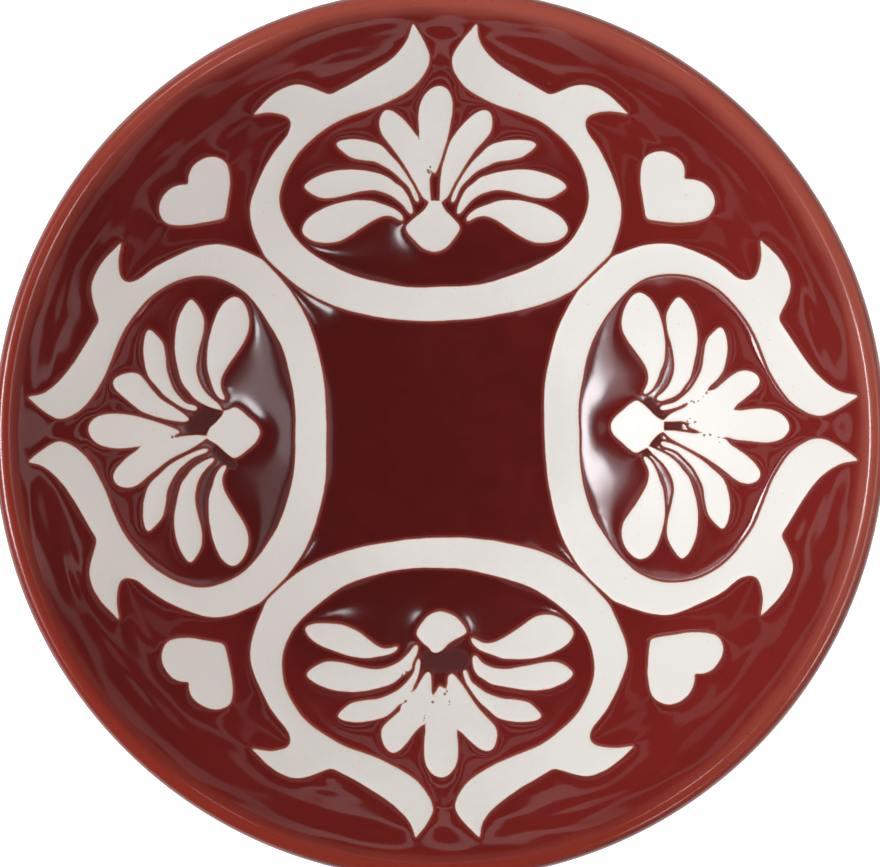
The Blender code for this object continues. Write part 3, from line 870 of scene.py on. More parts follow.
def relaxed(points, faces, held, aim, reach, rounds=150):
    """Heights that settle under surface tension: held where held is set, and drawn
    towards aim elsewhere, over about the given reach."""
    points, faces = np.array([tuple(p) for p in points]), np.array(faces)
    count = len(points)
    pairs, weights, area = [], [], np.zeros(count)
    for corner in range(3):
        a, b, c = (points[faces[:, (corner + k) % 3]] for k in range(3))
        u, v = a - c, b - c
        cross = np.abs(u[:, 0] * v[:, 1] - u[:, 1] * v[:, 0])
        cot = (u * v).sum(axis=1) / np.maximum(cross, 1e-9)
        pairs.append(np.column_stack([faces[:, corner], faces[:, (corner + 1) % 3]]))
        weights.append(np.clip(cot / 2, 0.0, 8.0))
        np.add.at(area, faces[:, corner], cross / 6)
    pairs, weights = np.concatenate(pairs), np.concatenate(weights)
    pull = area / reach ** 2
    total = pull + np.bincount(pairs[:, 0], weights, count)
    total += np.bincount(pairs[:, 1], weights, count)
    free = ~np.isfinite(held)
    height = np.where(free, aim, held)
    for _ in range(rounds):
        drawn = np.bincount(pairs[:, 0], weights * height[pairs[:, 1]], count)
        drawn += np.bincount(pairs[:, 1], weights * height[pairs[:, 0]], count)
        settled = (drawn + pull * aim) / np.maximum(total, 1e-12)
        height = np.where(free, settled, height)
    return height


def on_wall(profile, point, lift):
    """Place a plan point on the inside of the bowl, lift above the clay."""
    point = point * MM
    r = point.length
    lifted_r, z = profile.lifted(r, lift * MM)
    share = lifted_r / r if r > 0 else 1.0
    return Vector((point.x * share, point.y * share, z))


def laid(profile, points, faces, tops, bottom):
    """A sheet of triangles laid on the wall with its own heights, and closed below."""
    bm = bmesh.new()
    number = bm.verts.layers.int.new("plan_point")
    verts = []
    for i, point in enumerate(points):
        vert = bm.verts.new(on_wall(profile, point, bottom))
        vert[number] = i
        verts.append(vert)
    sheet = [bm.faces.new([verts[i] for i in face]) for face in faces]
    raised = bmesh.ops.extrude_face_region(bm, geom=sheet)["geom"]
    for vert in raised:
        if isinstance(vert, bmesh.types.BMVert):
            i = vert[number]
            vert.co = on_wall(profile, points[i], tops[i])
    unused = [vert for vert in bm.verts if not vert.link_faces]
    bmesh.ops.delete(bm, geom=unused, context="VERTS")
    return bm


def marked(piece, name, values):
    """Store a number for each plan point on the piece, for its material."""
    mesh = piece.data
    plan_point = np.zeros(len(mesh.vertices), dtype=np.int32)
    mesh.attributes["plan_point"].data.foreach_get("value", plan_point)
    layer = mesh.attributes.new(name, "FLOAT", "POINT")
    layer.data.foreach_set("value", np.array(values, dtype=np.float32)[plan_point])


def loop_edges(first, count):
    return [(first + i, first + (i + 1) % count) for i in range(count)]


def hexagonal(reach, pitch):
    """Points of a hexagonal net over a disc."""
    row_pitch = pitch * math.sqrt(3) / 2
    rows = int(reach / row_pitch) + 1
    for row in range(-rows, rows + 1):
        columns = int(reach / pitch) + 2
        for column in range(-columns, columns + 1):
            yield Vector(((column + 0.5 * (row % 2)) * pitch, row * row_pitch))


class Net:
    """Plan points that keep a least spacing between them."""

    def __init__(self, spacing):
        self.spacing = spacing
        self.cells = {}
        self.points = []

    def add(self, point):
        x, y = int(point.x // self.spacing), int(point.y // self.spacing)
        for i in (x - 1, x, x + 1):
            for j in (y - 1, y, y + 1):
                for other in self.cells.get((i, j), ()):
                    if (other - point).length < self.spacing:
                        return
        self.cells.setdefault((x, y), []).append(point)
        self.points.append(point)


# A point of a row is left out where it lies nearer to an edge than this share of the row
ROW_SHARE = 0.93

# Rows along a figure's edge, the net within them and where it starts, the least spacing,
# how far the edge runs under the ground, how deep it lies there and how round it is
FIGURE_ROWS = (0.16, 0.36, 0.7, 1.2)
FIGURE_NET, FIGURE_NET_START = 1.5, 1.6
FIGURE_SPACING = 0.14
UNDERLAP, TUCKED, TUCK_DEPTH = 0.12, 0.05, 0.16
FIGURE_ROUND = 0.45
# Height of a figure's unevenness and its waves per millimetre
UNEVEN, UNEVEN_WAVES = 0.03, 0.3


def figure(profile, name, outline, surface, layer):
    """One white figure, a little domed, with its edge tucked under the ground. It lies
    lower by layer, so that figures that run together don't share a face."""
    sizes = profile.sizes
    edge = Edges([outline])
    rim = widened(outline, UNDERLAP)
    net = Net(FIGURE_SPACING)
    for point in outline:
        net.add(point)
    for row in FIGURE_ROWS:
        for point in widened(outline, -row):
            if edge.inset(point) > ROW_SHARE * row:
                net.add(point)
    reach = max(p.length for p in outline)
    low = Vector((min(p.x for p in outline), min(p.y for p in outline)))
    high = Vector((max(p.x for p in outline), max(p.y for p in outline)))
    for point in hexagonal(reach, FIGURE_NET):
        if low.x < point.x < high.x and low.y < point.y < high.y:
            if edge.inset(point) > FIGURE_NET_START:
                net.add(point)
    points, _, faces, *_ = delaunay_2d_cdt(
        rim + net.points, loop_edges(0, len(rim)), [], 1, 1e-7)
    inside = seen_insets(points)
    full = (sizes.seat + sizes.figure) / MM - layer
    waves = (Vector((p.x * UNEVEN_WAVES, p.y * UNEVEN_WAVES, 2.0)) for p in points)
    aim = np.array([full + UNEVEN * noise.noise(wave) for wave in waves])
    held = np.where(inside < -TUCKED, full - TUCK_DEPTH, np.nan)
    tops = relaxed(points, faces, held, aim, FIGURE_ROUND)
    bm = laid(profile, points, faces, tops, sizes.seat / MM)
    piece = placed(bm, name + "_slip", surface, [name])
    marked(piece, "inset", inside)
    marked(piece, "broken", deepest(points, BROKEN_LINES))


# The same for the ground, which ends at GROUND_REACH under the lip's glaze; how far it
# dips below the figures and the lip, how near an edge it does so, and the width of the
# ring along its own edge that has no more points
GROUND_ROWS = (0.13, 0.3, 0.55, 0.9, 1.4)
GROUND_NET, GROUND_NET_START = 1.0, 1.75
GROUND_SPACING = 0.13
GROUND_REACH, GROUND_STEPS = 76.7, 540
EDGE_DROP, LIP_DROP = 0.04, 0.02
WINDOW_EDGE, RIM_ROW = 0.03, 0.3

# The dome of the ground between figures, what it has more inside the frames, over what
# distance it rises, where it starts beside a figure, and its waves
DOME, INNER_DOME, DOME_REACH, DOME_START = 0.22, 0.30, 2.6, -0.28
WAVE = 0.05


def ground_aim(sizes, point, gap):
    """Thickness that the ground settles to at a gap from the nearest figure: it swells
    away from the figures, has waves from the wheel and thins towards the lip."""
    r = point.length
    lip_lift = (sizes.seat + sizes.lip_coat) / MM
    full = (sizes.seat + sizes.ground) / MM
    thinned = eased(r, 69.5, 76.4)
    slow = noise.noise(Vector((point.x * 0.09, point.y * 0.09, 11.0)))
    angle = math.atan2(point.y, point.x)
    stretched = Vector((3.0 * math.cos(angle), 3.0 * math.sin(angle), r * 0.30))
    rings = noise.noise(stretched + Vector((0.0, 0.0, 5.0)))
    outer = eased(r, 44.0, 62.0) * (1 - thinned)
    lift = full + (lip_lift - 0.01 - full) * thinned
    inner = eased(r, 19.0, 27.0) - eased(r, 34.0, 47.0)
    inner *= eased(abs(math.cos(2 * angle)), 0.3, 0.5)
    dome = DOME + INNER_DOME * inner
    swell = DOME_START + dome * (1 - math.exp(-max(0.0, gap) / DOME_REACH))
    return lift + (swell + WAVE * slow) * (1 - thinned) + WAVE * rings * outer


def ground(profile, figures, surface):
    """Thick red ground over the inside, with a window round each figure."""
    sizes = profile.sizes
    circle = [Vector((GROUND_REACH * math.cos(a), GROUND_REACH * math.sin(a)))
              for a in spaced(0.0, math.tau, math.tau / GROUND_STEPS)[:-1]]
    points, edges = list(circle), loop_edges(0, len(circle))
    for window in figures:
        edges += loop_edges(len(points), len(window))
        points += window
    outline_count = len(points)
    net = Net(GROUND_SPACING)
    nets = [(ROW_SHARE * row, [point for window in figures for point in widened(window, row)])
            for row in GROUND_ROWS]
    nets.append((GROUND_NET_START, list(hexagonal(GROUND_REACH, GROUND_NET))))
    for least, row_points in nets:
        for point, inset in zip(row_points, seen_insets(row_points)):
            if point.length < GROUND_REACH - RIM_ROW and inset < -least:
                net.add(point)
    points, _, faces, origins, *_ = delaunay_2d_cdt(points + net.points, edges, [], 1, 1e-7)
    middles = [sum((points[i] for i in face), Vector((0.0, 0.0))) / 3 for face in faces]
    windows = covered(middles, figures)
    faces = [face for face, window in zip(faces, windows) if not window]
    low = (sizes.seat + sizes.figure) / MM - EDGE_DROP
    lip_lift = (sizes.seat + sizes.lip_coat) / MM
    gaps = -seen_insets(points)
    held = np.where(gaps < WINDOW_EDGE, low, np.nan)
    for i, sources in enumerate(origins):
        if any(source < outline_count for source in sources):
            at_rim = points[i].length > GROUND_REACH - 0.01
            held[i] = lip_lift - LIP_DROP if at_rim else low
    aim = np.array([ground_aim(sizes, p, gap) for p, gap in zip(points, gaps)])
    tops = relaxed(points, faces, held, aim, sizes.bead_reach / MM)
    bm = laid(profile, points, faces, tops, sizes.seat / MM)
    piece = placed(bm, "ground_glaze_pool", surface, ["ground_glaze"])
    marked(piece, "edge", gaps)
    marked(piece, "dry", deepest(points, DRY_PATCHES))


# Surfaces


class Wire:
    """A number that runs through a material's nodes."""

    def __init__(self, surface, socket):
        self.surface, self.socket = surface, socket

    def maths(self, operation, first, second=None):
        sockets = [first] if second is None else [first, second]
        return self.surface.node("ShaderNodeMath", {"operation": operation}, sockets)

    def __add__(self, other):
        return self.maths("ADD", self, other)

    def __sub__(self, other):
        return self.maths("SUBTRACT", self, other)

    def __rsub__(self, other):
        return self.maths("SUBTRACT", other, self)

    def __mul__(self, other):
        return self.maths("MULTIPLY", self, other)

    def __truediv__(self, other):
        return self.maths("DIVIDE", self, other)

    __radd__ = __add__
    __rmul__ = __mul__

    def greater(self, other):
        return self.maths("MAXIMUM", self, other)

    def __abs__(self):
        return self.maths("ABSOLUTE", self)

    def between(self, start, end, blur):
        """1 from start to end and 0 outside them, with edges of the given blur."""
        return self.rise(start - blur, start) * (1 - self.rise(end, end + blur))

    def rise(self, start, end):
        """0 before start and 1 after end, with a smooth rise between."""
        settings = {"interpolation_type": "SMOOTHSTEP"}
        return self.surface.node("ShaderNodeMapRange", settings,
                                 {"Value": self, "From Min": start, "From Max": end})


class Surface:
    """A material, or the world, whose nodes are added one expression at a time."""

    def __init__(self, name, blocks=None, shader="Principled BSDF"):
        blocks = bpy.data.materials if blocks is None else blocks
        self.material = blocks.new(name)
        self.material.use_nodes = True
        self.tree = self.material.node_tree
        self.shader = self.tree.nodes[shader]

    def node(self, kind, settings=None, sockets=None, output=0):
        made = self.tree.nodes.new(kind)
        for key, value in (settings or {}).items():
            setattr(made, key, value)
        pairs = sockets.items() if isinstance(sockets, dict) else enumerate(sockets or ())
        for key, value in pairs:
            self.feed(made.inputs[key], value)
        return Wire(self, made.outputs[output])

    def feed(self, target, value):
        if isinstance(value, Wire):
            self.tree.links.new(value.socket, target)
        elif isinstance(value, (int, float)):
            target.default_value = value
        elif len(target.default_value) == 4:
            target.default_value = (*value, 1.0)
        else:
            target.default_value = tuple(value)

    def set(self, **sockets):
        for name, value in sockets.items():
            self.feed(self.shader.inputs[name.replace("_", " ").title()], value)

    def place(self):
        return self.node("ShaderNodeTexCoord", output="Object")

    def attribute(self, name):
        return self.node("ShaderNodeAttribute", {"attribute_name": name}, output="Fac")

    def noise(self, place, scale, detail=2.0, roughness=0.5, distortion=0.0):
        return self.node("ShaderNodeTexNoise", None, {
            "Vector": place, "Scale": scale, "Detail": detail, "Roughness": roughness,
            "Distortion": distortion})

    def mix(self, share, first, second):
        return self.node("ShaderNodeMix", {"data_type": "RGBA"},
                         {0: share, 6: first, 7: second}, output=2)

    def axis(self, place, letter):
        return self.node("ShaderNodeSeparateXYZ", None, [place], output=letter)

    def vector(self, operation, sockets, output=0):
        return self.node("ShaderNodeVectorMath", {"operation": operation}, sockets, output)

    def radius(self, place):
        """Distance from the bowl's axis in millimetres."""
        flat = self.vector("MULTIPLY", [place, (1 / MM, 1 / MM, 0.0)])
        return self.vector("LENGTH", [flat], "Value")

    def wheel_place(self, place, radius, around, along):
        """Coordinates that follow the wheel: stretched round the bowl, quick across it."""
        flat = self.vector("MULTIPLY", [place, (1.0, 1.0, 0.0)])
        unit = self.vector("NORMALIZE", [flat])
        round_place = self.vector("SCALE", {0: unit, "Scale": around})
        lift = self.node("ShaderNodeCombineXYZ", None, {"Z": radius * along})
        return self.vector("ADD", [round_place, lift])

    def finished(self, colour, roughness, relief, depth):
        """The material, with its relief raised by the given depth."""
        bump = self.node("ShaderNodeBump", None, {"Height": relief, "Distance": depth})
        self.set(base_color=colour, roughness=roughness, normal=bump)
        return self.material


def dimmed(colour, share):
    return tuple(channel * share for channel in colour)


def red_body(surface, colours, place, radius):
    """Red of the glaze: deepest in the middle and on the left, paler higher on the wall
    and at the lip, with a slow mottling. The paler right side is painted light from the
    lamp on the left, and the paler lip at the back on the right is a painted sheen."""
    slow = surface.noise(place, 60.0, 3.0)
    wheel = surface.noise(surface.wheel_place(place, radius, 4.0, 0.28), 1.0, 3.0)
    mottle = (slow - 0.5) * 0.5 + (wheel - 0.5) * 0.6
    across = surface.axis(place, "X")
    outer = radius.rise(34.0, 60.0)
    # Paler towards +X: painted light, where the lamp on the left lights the right wall; the mottle
    # in it is the glaze's own
    painted_light_and_mottle = (across * (6.0 - outer * 2.5) + outer * 0.46 + mottle * 0.5 + 0.17).rise(0.0, 1.0)
    body = surface.mix(painted_light_and_mottle, colours.deep_red, colours.pale_and_lit_red)
    thin = (radius + mottle * 3.0).rise(74.2, 77.6)
    beyond = surface.axis(place, "Y")
    # Paler at the back on the right: a painted sheen, standing in for a soft lamp's reflection in
    # the lip, with a little of the glaze's own mottling
    paler = (across * 5.0 + beyond * 6.0 + mottle * 0.4 + 0.42).rise(0.0, 1.0)
    lip = surface.mix(paler, colours.lip_red, colours.lip_sheen)
    return surface.mix(thin, body, lip)


def ripples(surface, place, radius):
    """Slow waves of the glaze along the wheel, fine orange peel and a few pinholes."""
    wheel = surface.noise(surface.wheel_place(place, radius, 4.5, 0.26), 1.0, 0.0, 0.4, 0.5)
    outer = radius.rise(50.0, 68.0)
    peel = surface.noise(place, 900.0, 2.0)
    return wheel * (outer * 0.9 + 0.08) + peel * 0.004


def ground_surface(colours):
    surface = Surface("red_ground_glaze_deep")
    place = surface.place()
    radius = surface.radius(place)
    body = red_body(surface, colours, place, radius)
    edge = surface.attribute("edge")
    flutter = surface.noise(place, 1600.0, 2.0) - 0.5
    stain = 1 - (edge + flutter * 0.08).rise(0.03, 0.22)
    warm = 1 - (edge + flutter * 0.3).rise(0.15, 1.1)
    body = surface.mix(warm * 0.5, body, colours.pale_and_lit_red)
    body = surface.mix(stain, body, colours.edge_brown)
    dry = surface.attribute("dry")
    body = surface.mix(dry * 0.60, body, (0.050, 0.006, 0.004))
    specks = surface.noise(place, 1400.0, 1.0).rise(0.80, 0.84)
    body = surface.mix(specks * 0.6, body, (0.020, 0.003, 0.002))
    uneven = surface.noise(place, 120.0, 3.0)
    smooth = radius.rise(44.0, 58.0)
    rough = (0.10 - smooth * 0.06 + uneven * (0.06 - smooth * 0.04) + dry * 0.70
             + (1 - edge.rise(0.18, 0.54)) * 0.75)
    return surface.finished(body, rough, ripples(surface, place, radius), 0.12 * MM)


def white_surface(colours):
    surface = Surface("white_slip_satin")
    place = surface.place()
    inset = surface.attribute("inset")
    slow = surface.noise(place, 45.0, 3.0)
    fine = surface.noise(place, 700.0, 3.0)
    across = surface.axis(place, "X")
    # Greyer towards -X: painted shade on the left figures, which face away from the lamp on the
    # left, mixed with the slip's own slow mottling
    grey_and_shaded_white = tuple(c * k for c, k in zip(colours.white, (0.885, 0.860, 0.876)))
    shade = (slow * 0.7 + fine * 0.3 - across * 12.0).rise(0.0, 1.0)
    body = surface.mix(shade, colours.white, grey_and_shaded_white)
    flutter = surface.noise(place, 1500.0, 2.0) - 0.5
    stain = 1 - (inset + flutter * 0.12).rise(0.0, 0.17)
    warm = 1 - inset.rise(0.05, 0.55)
    body = surface.mix(warm * 0.22, body, (0.74, 0.60, 0.50))
    body = surface.mix(stain * 0.85, body, colours.edge_brown)
    gaps = surface.node("ShaderNodeTexVoronoi", None, {"Vector": place, "Scale": 1000.0})
    broken = surface.attribute("broken").rise(0.35, 0.70) * (1 - gaps.rise(0.26, 0.34))
    body = surface.mix(broken * 0.85, body, (0.16, 0.03, 0.02))
    specks = surface.noise(place, 1900.0, 0.0).rise(0.84, 0.87)
    body = surface.mix(specks * 0.4, body, (0.45, 0.25, 0.18))
    return surface.finished(body, 0.34 + fine * 0.10, slow * 0.7 + fine * 0.05, 0.08 * MM)


def thin_surface(name, colours, outer):
    """Thin red-brown glaze of the lip, or of the outside where outer is set."""
    surface = Surface(name)
    place = surface.place()
    radius = surface.radius(place)
    height = surface.axis(place, "Z") * (1 / MM)
    body = red_body(surface, colours, place, radius)
    wheel = surface.noise(surface.wheel_place(place, height, 3.0, 0.9), 1.0, 4.0)
    cloud = surface.noise(place, 90.0, 4.0)
    outside = surface.mix((wheel * 0.55 + cloud * 0.45).rise(0.32, 0.68),
                          colours.outside_red, dimmed(colours.outside_red, 0.55))
    if outer:
        worn = 1 - (height + (cloud - 0.5) * 3.0).rise(10.0, 16.0)
        body = surface.mix(worn * 0.45, outside, colours.lip_red)
    else:
        beyond = (radius + (cloud - 0.5) * 0.8).rise(78.9, 79.8)
        body = surface.mix(beyond, body, outside)
    specks = surface.noise(place, 1500.0, 1.0).rise(0.74, 0.78)
    body = surface.mix(specks * 0.5, body, (0.03, 0.006, 0.004))
    relief = wheel * 0.6 + surface.noise(place, 800.0, 2.0) * 0.03 - specks * 0.05
    return surface.finished(body, 0.13 + cloud * 0.10, relief, 0.10 * MM)


def clay_surface(colours):
    surface = Surface("red_clay_bare")
    place = surface.place()
    radius = surface.radius(place)
    height = surface.axis(place, "Z") * (1 / MM)
    wheel = surface.noise(surface.wheel_place(place, radius + height, 2.0, 2.6), 1.0, 4.0)
    cloud = surface.noise(place, 70.0, 4.0)
    grain = surface.noise(place, 2400.0, 3.0)
    body = surface.mix((cloud * 0.5 + wheel * 0.5).rise(0.35, 0.65),
                       colours.clay, dimmed(colours.clay, 0.66))
    grit = surface.noise(place, 1700.0, 0.0).rise(0.70, 0.76)
    body = surface.mix(grit * 0.5, body, (0.62, 0.36, 0.24))
    pale = surface.noise(place, 1300.0, 1.0).rise(0.30, 0.24)
    body = surface.mix(pale * 0.4, body, (0.16, 0.05, 0.03))
    rubbed = 1 - height.rise(0.1, 1.2)
    body = surface.mix(rubbed * 0.35, body, (0.30, 0.13, 0.08))
    relief = wheel * 0.7 + grain * 0.18 + grit * 0.15
    return surface.finished(body, 0.82 + grain * 0.12, relief, 0.18 * MM)


def table_surface(colours):
    """Pale table that shows white behind the bowl and keeps the bowl's shadow."""
    surface = Surface("pale_table")
    place = surface.place()
    cloud = surface.noise(place, 2.0, 3.0)
    body = surface.mix(cloud, colours.table, dimmed(colours.table, 0.985))
    surface.set(base_color=body, roughness=0.9)
    seen = surface.node("ShaderNodeLightPath", output="Is Camera Ray")
    seen = seen.greater(surface.node("ShaderNodeLightPath", output="Is Glossy Ray"))
    glow, dark = (surface.node("ShaderNodeEmission", None, {"Strength": strength})
                  for strength in (0.75, 0.0))
    lit = surface.node("ShaderNodeMixShader", None, [seen, dark, glow])
    matt = Wire(surface, surface.shader.outputs[0])
    both = surface.node("ShaderNodeAddShader", None, [lit, matt])
    output = surface.tree.nodes["Material Output"]
    surface.tree.links.new(both.socket, output.inputs["Surface"])
    return surface.material


# Pieces


def tool_marks(at, height, rate):
    """Height of the fine rings that the turning tool leaves."""
    return height * MM * math.sin(at / MM * rate)


def rounding(t):
    """Quarter of a round edge: from 0 at its start to 1 where it is full."""
    return math.sqrt(max(0.0, 1 - (1 - min(1.0, t)) ** 2))


class BOWL_OT_clay_body(bpy.types.Operator):
    """Clay body: floor, wall, round lip and foot ring, thrown and turned in one piece"""

    bl_idname = "bowl.clay_body"
    bl_label = "Clay Body"

    def execute(self, context):
        sizes, colours = context.scene.bowl_sizes, context.scene.bowl_colours
        profile = Profile(sizes)
        floor_radius, foot = sizes.floor_radius, sizes.foot_radius
        inside = [(r, profile.at(r)[0])
                  for r in [0.0] + spaced(5 * MM, floor_radius, 4 * MM)
                  + spaced(floor_radius, profile.end_r, 1.5 * MM)[1:-1]]
        lip = profile.lip_arc(0.0, 12)
        fillet, bulge, hollow = 1.5 * MM, 0.05 * MM, 0.12 * MM
        share = profile.outside_share(foot + fillet)
        outer = [profile.outside(s) for s in spaced(1.0, share, 0.03)[1:]]
        outer = [(r, z - tool_marks(z, 0.03, 2.1)) for r, z in outer]
        corner = profile.outside(profile.outside_share(foot))
        bend = (outer[-1], corner, (foot, corner[1] - fillet))
        outer += [tuple(bezier(bend, t / 8)) for t in range(1, 9)]
        inner, depth = foot - sizes.foot_width, sizes.foot_depth
        ring = [(foot, depth * 0.6), (foot + bulge, depth * 0.42)]
        ring += self.corner(foot, 0.0, -1, 1.1 * MM, True)
        ring += self.corner(inner, 0.0, 1, 0.9 * MM, False)
        ring += [(inner - bulge, depth * 0.5)]
        recess_bend = ((inner, depth - 1.4 * MM), (inner, depth), (inner - 1.6 * MM, depth))
        ring += [tuple(bezier(recess_bend, t / 6)) for t in range(7)]
        under = []
        for r in spaced(inner - 1.9 * MM, 0.6 * MM, 0.45 * MM):
            cut = tool_marks(r, 0.05, 1.9) + hollow * (1 - r / inner)
            under.append((r, depth + cut))
        section = inside + lip + outer + ring + under + [(0.0, depth + hollow)]
        bm = turned(section, sizes.steps)
        placed(bm, "clay_body_thrown", clay_surface(colours), ["clay_body"])
        return {"FINISHED"}

    @staticmethod
    def corner(r, z, towards, radius, outer):
        """Rounded corner of the foot ring on the table."""
        centre = (r + towards * radius, z + radius)
        start = 0.0 if outer else -math.pi / 2
        points = []
        for i in range(7):
            a = start - math.pi / 2 * i / 6
            points.append((centre[0] + radius * math.cos(a), centre[1] + radius * math.sin(a)))
        return points


class BOWL_OT_outside_glaze(bpy.types.Operator):
    """Glaze on the outer wall, with the uneven lower edge that dipping leaves"""

    bl_idname = "bowl.outside_glaze"
    bl_label = "Outside Glaze"

    def execute(self, context):
        sizes, colours = context.scene.bowl_sizes, context.scene.bowl_colours
        profile = Profile(sizes)
        bare = 3.5 * MM
        top, end = 0.965, profile.outside_share(sizes.foot_radius + bare)
        seat, full = sizes.seat, sizes.seat + sizes.outside_coat
        shares = spaced(top, end, 0.008)
        over, count = [], len(shares)
        for i, share in enumerate(shares):
            ring = 0.07 * MM * math.sin(share * 74.0) + 0.04 * MM * math.sin(share * 31.0 + 1.0)
            roll = 0.15 * MM * math.exp(-((share - end - 0.03) / 0.02) ** 2)
            edge = min(rounding((i + 0.02) / 3), rounding((count - 0.9 - i) / 2.5))
            lift = seat * 0.5 + (full + ring + roll - seat * 0.5) * edge
            over.append(profile.outside(share, lift))
        under = [profile.outside(share, seat * 0.4) for share in shares[::-1]]
        bm = turned(over + under, sizes.steps)
        self.dip(bm, profile, end)
        placed(bm, "outside_glaze_dipped",
               thin_surface("thin_red_glaze_outside", colours, True), ["outside_glaze"])
        return {"FINISHED"}

    @staticmethod
    def dip(bm, profile, end):
        """Let the lower edge wander up and down the wall."""
        low, high = profile.outside(end), profile.outside(end + 0.12)
        along = Vector((high[0] - low[0], high[1] - low[1])).normalized()
        for vert in bm.verts:
            share = 1 - eased(vert.co.z, low[1], high[1])
            if share <= 0:
                continue
            r = vert.co.xy.length
            unit = vert.co.xy / r
            wave = 0.65 * noise.noise(Vector((unit.x * 2.2, unit.y * 2.2, 3.0)))
            wave += 0.30 * noise.noise(Vector((unit.x * 7.0, unit.y * 7.0, 9.0)))
            move = along * (wave * MM * share)
            vert.co.xy = unit * (r + move.x)
            vert.co.z += move.y


class BOWL_OT_lip_glaze(bpy.types.Operator):
    """Thin glaze over the round lip, from inside the rim to just below it outside"""

    bl_idname = "bowl.lip_glaze"
    bl_label = "Lip Glaze"

    def execute(self, context):
        sizes, colours = context.scene.bowl_sizes, context.scene.bowl_colours
        profile = Profile(sizes)
        seat, full = sizes.seat, sizes.seat + sizes.lip_coat
        overlap, swelling = 1.0 * MM, 0.05 * MM
        band = spaced(GROUND_REACH * MM - overlap, profile.end_r, 0.3 * MM)
        skirt = spaced(1.0, 0.93, 0.008)
        over = [profile.lifted(r, full) for r in band[:-1]] + profile.lip_arc(full, 22)
        for i, share in enumerate(skirt[1:]):
            swell = full + (sizes.outside_coat - sizes.lip_coat) * eased(i, 0, 5)
            swell += swelling
            if i >= len(skirt) - 3:
                swell = seat + (swell - seat) * (0.75 if i == len(skirt) - 3 else 0.2)
            over.append(profile.outside(share, swell))
        under = [profile.outside(share, seat * 0.4) for share in skirt[::-1][:-1]]
        under += profile.lip_arc(seat * 0.4, 12)[::-1]
        under += [profile.lifted(r, seat * 0.4) for r in band[:-1][::-1]]
        bm = turned(over + under, sizes.steps)
        placed(bm, "lip_glaze_thin",
               thin_surface("thin_red_glaze_lip", colours, False), ["lip_glaze"])
        return {"FINISHED"}


class FigureOperator:
    """What the operators of the white figures share: they lay those whose name fits."""

    def execute(self, context):
        profile = Profile(context.scene.bowl_sizes)
        surface = bpy.data.materials.get("white_slip_satin")
        if surface is None:
            surface = white_surface(context.scene.bowl_colours)
        made = 0
        for i, (name, outline) in enumerate(ornament().items()):
            if self.kind in name:
                figure(profile, name, outline, surface, 0.006 * (i % 3))
                made += 1
        if made == 0:
            raise RuntimeError(f"no figure is named {self.kind}")
        return {"FINISHED"}


class BOWL_OT_frames(FigureOperator, bpy.types.Operator):
    """White open ogee frames round the four palmettes"""

    bl_idname = "bowl.frames"
    bl_label = "Ogee Frames"
    kind = "frame"


class BOWL_OT_petals(FigureOperator, bpy.types.Operator):
    """White petals, nine in each palmette"""

    bl_idname = "bowl.petals"
    bl_label = "Petals"
    kind = "petal"


class BOWL_OT_diamonds(FigureOperator, bpy.types.Operator):
    """White diamonds at the roots of the petals"""

    bl_idname = "bowl.diamonds"
    bl_label = "Diamonds"
    kind = "diamond"


class BOWL_OT_hearts(FigureOperator, bpy.types.Operator):
    """White hearts between the palmettes"""

    bl_idname = "bowl.hearts"
    bl_label = "Hearts"
    kind = "heart"


class BOWL_OT_ground_glaze(bpy.types.Operator):
    """Thick red ground with a window round each figure and a bead along each edge"""

    bl_idname = "bowl.ground_glaze"
    bl_label = "Ground Glaze"

    def execute(self, context):
        profile = Profile(context.scene.bowl_sizes)
        ground(profile, list(ornament().values()), ground_surface(context.scene.bowl_colours))
        return {"FINISHED"}


COOL, WARM, PLAIN = (0.95, 0.965, 1.0), (1.0, 0.95, 0.88), (1.0, 1.0, 1.0)
# Name, degrees from the zenith, azimuth, distance, size, whose brightness it has and what
# share of it, colour, and whether the glaze mirrors it
SOFTBOXES = (
    ("key_softbox", 43.5, 181.0, 1.0, (0.34, 0.2), "key", 1.0, COOL, True),
    ("halo_softbox", 41.0, 182.0, 1.1, (0.84, 0.28), "halo", 1.0, COOL, True),
    ("fill_softbox", 42.0, 348.0, 1.1, (0.48, 0.22), "fill", 1.0, COOL, True),
    ("low_softbox", 45.0, 14.0, 1.1, (0.24, 0.22), "fill", 0.4, COOL, True),
    ("line_softbox", 20.0, 182.0, 1.2, (0.22, 0.24), "fill", 0.4, COOL, True),
    ("right_spot", 36.0, 331.0, 1.0, (0.11, 0.11), "spot", 1.0, COOL, True),
    ("front_spot", 40.0, 300.0, 1.0, (0.07, 0.1), "spot", 1.0, COOL, True),
    ("back_spot", 35.0, 60.0, 1.0, (0.05, 0.06), "spot", 1.0, COOL, True),
    ("far_spot", 37.5, 126.0, 1.0, (0.08, 0.09), "spot", 1.0, COOL, True),
    ("left_cloth", 62.0, 180.0, 1.6, (1.2, 1.2), "left", 1.0, PLAIN, False),
    ("right_cloth", 62.0, 0.0, 1.6, (1.2, 1.2), "right", 1.0, WARM, False),
    ("top_cloth", 25.0, 70.0, 1.6, (1.2, 1.2), "overhead", 1.0, WARM, False),
)


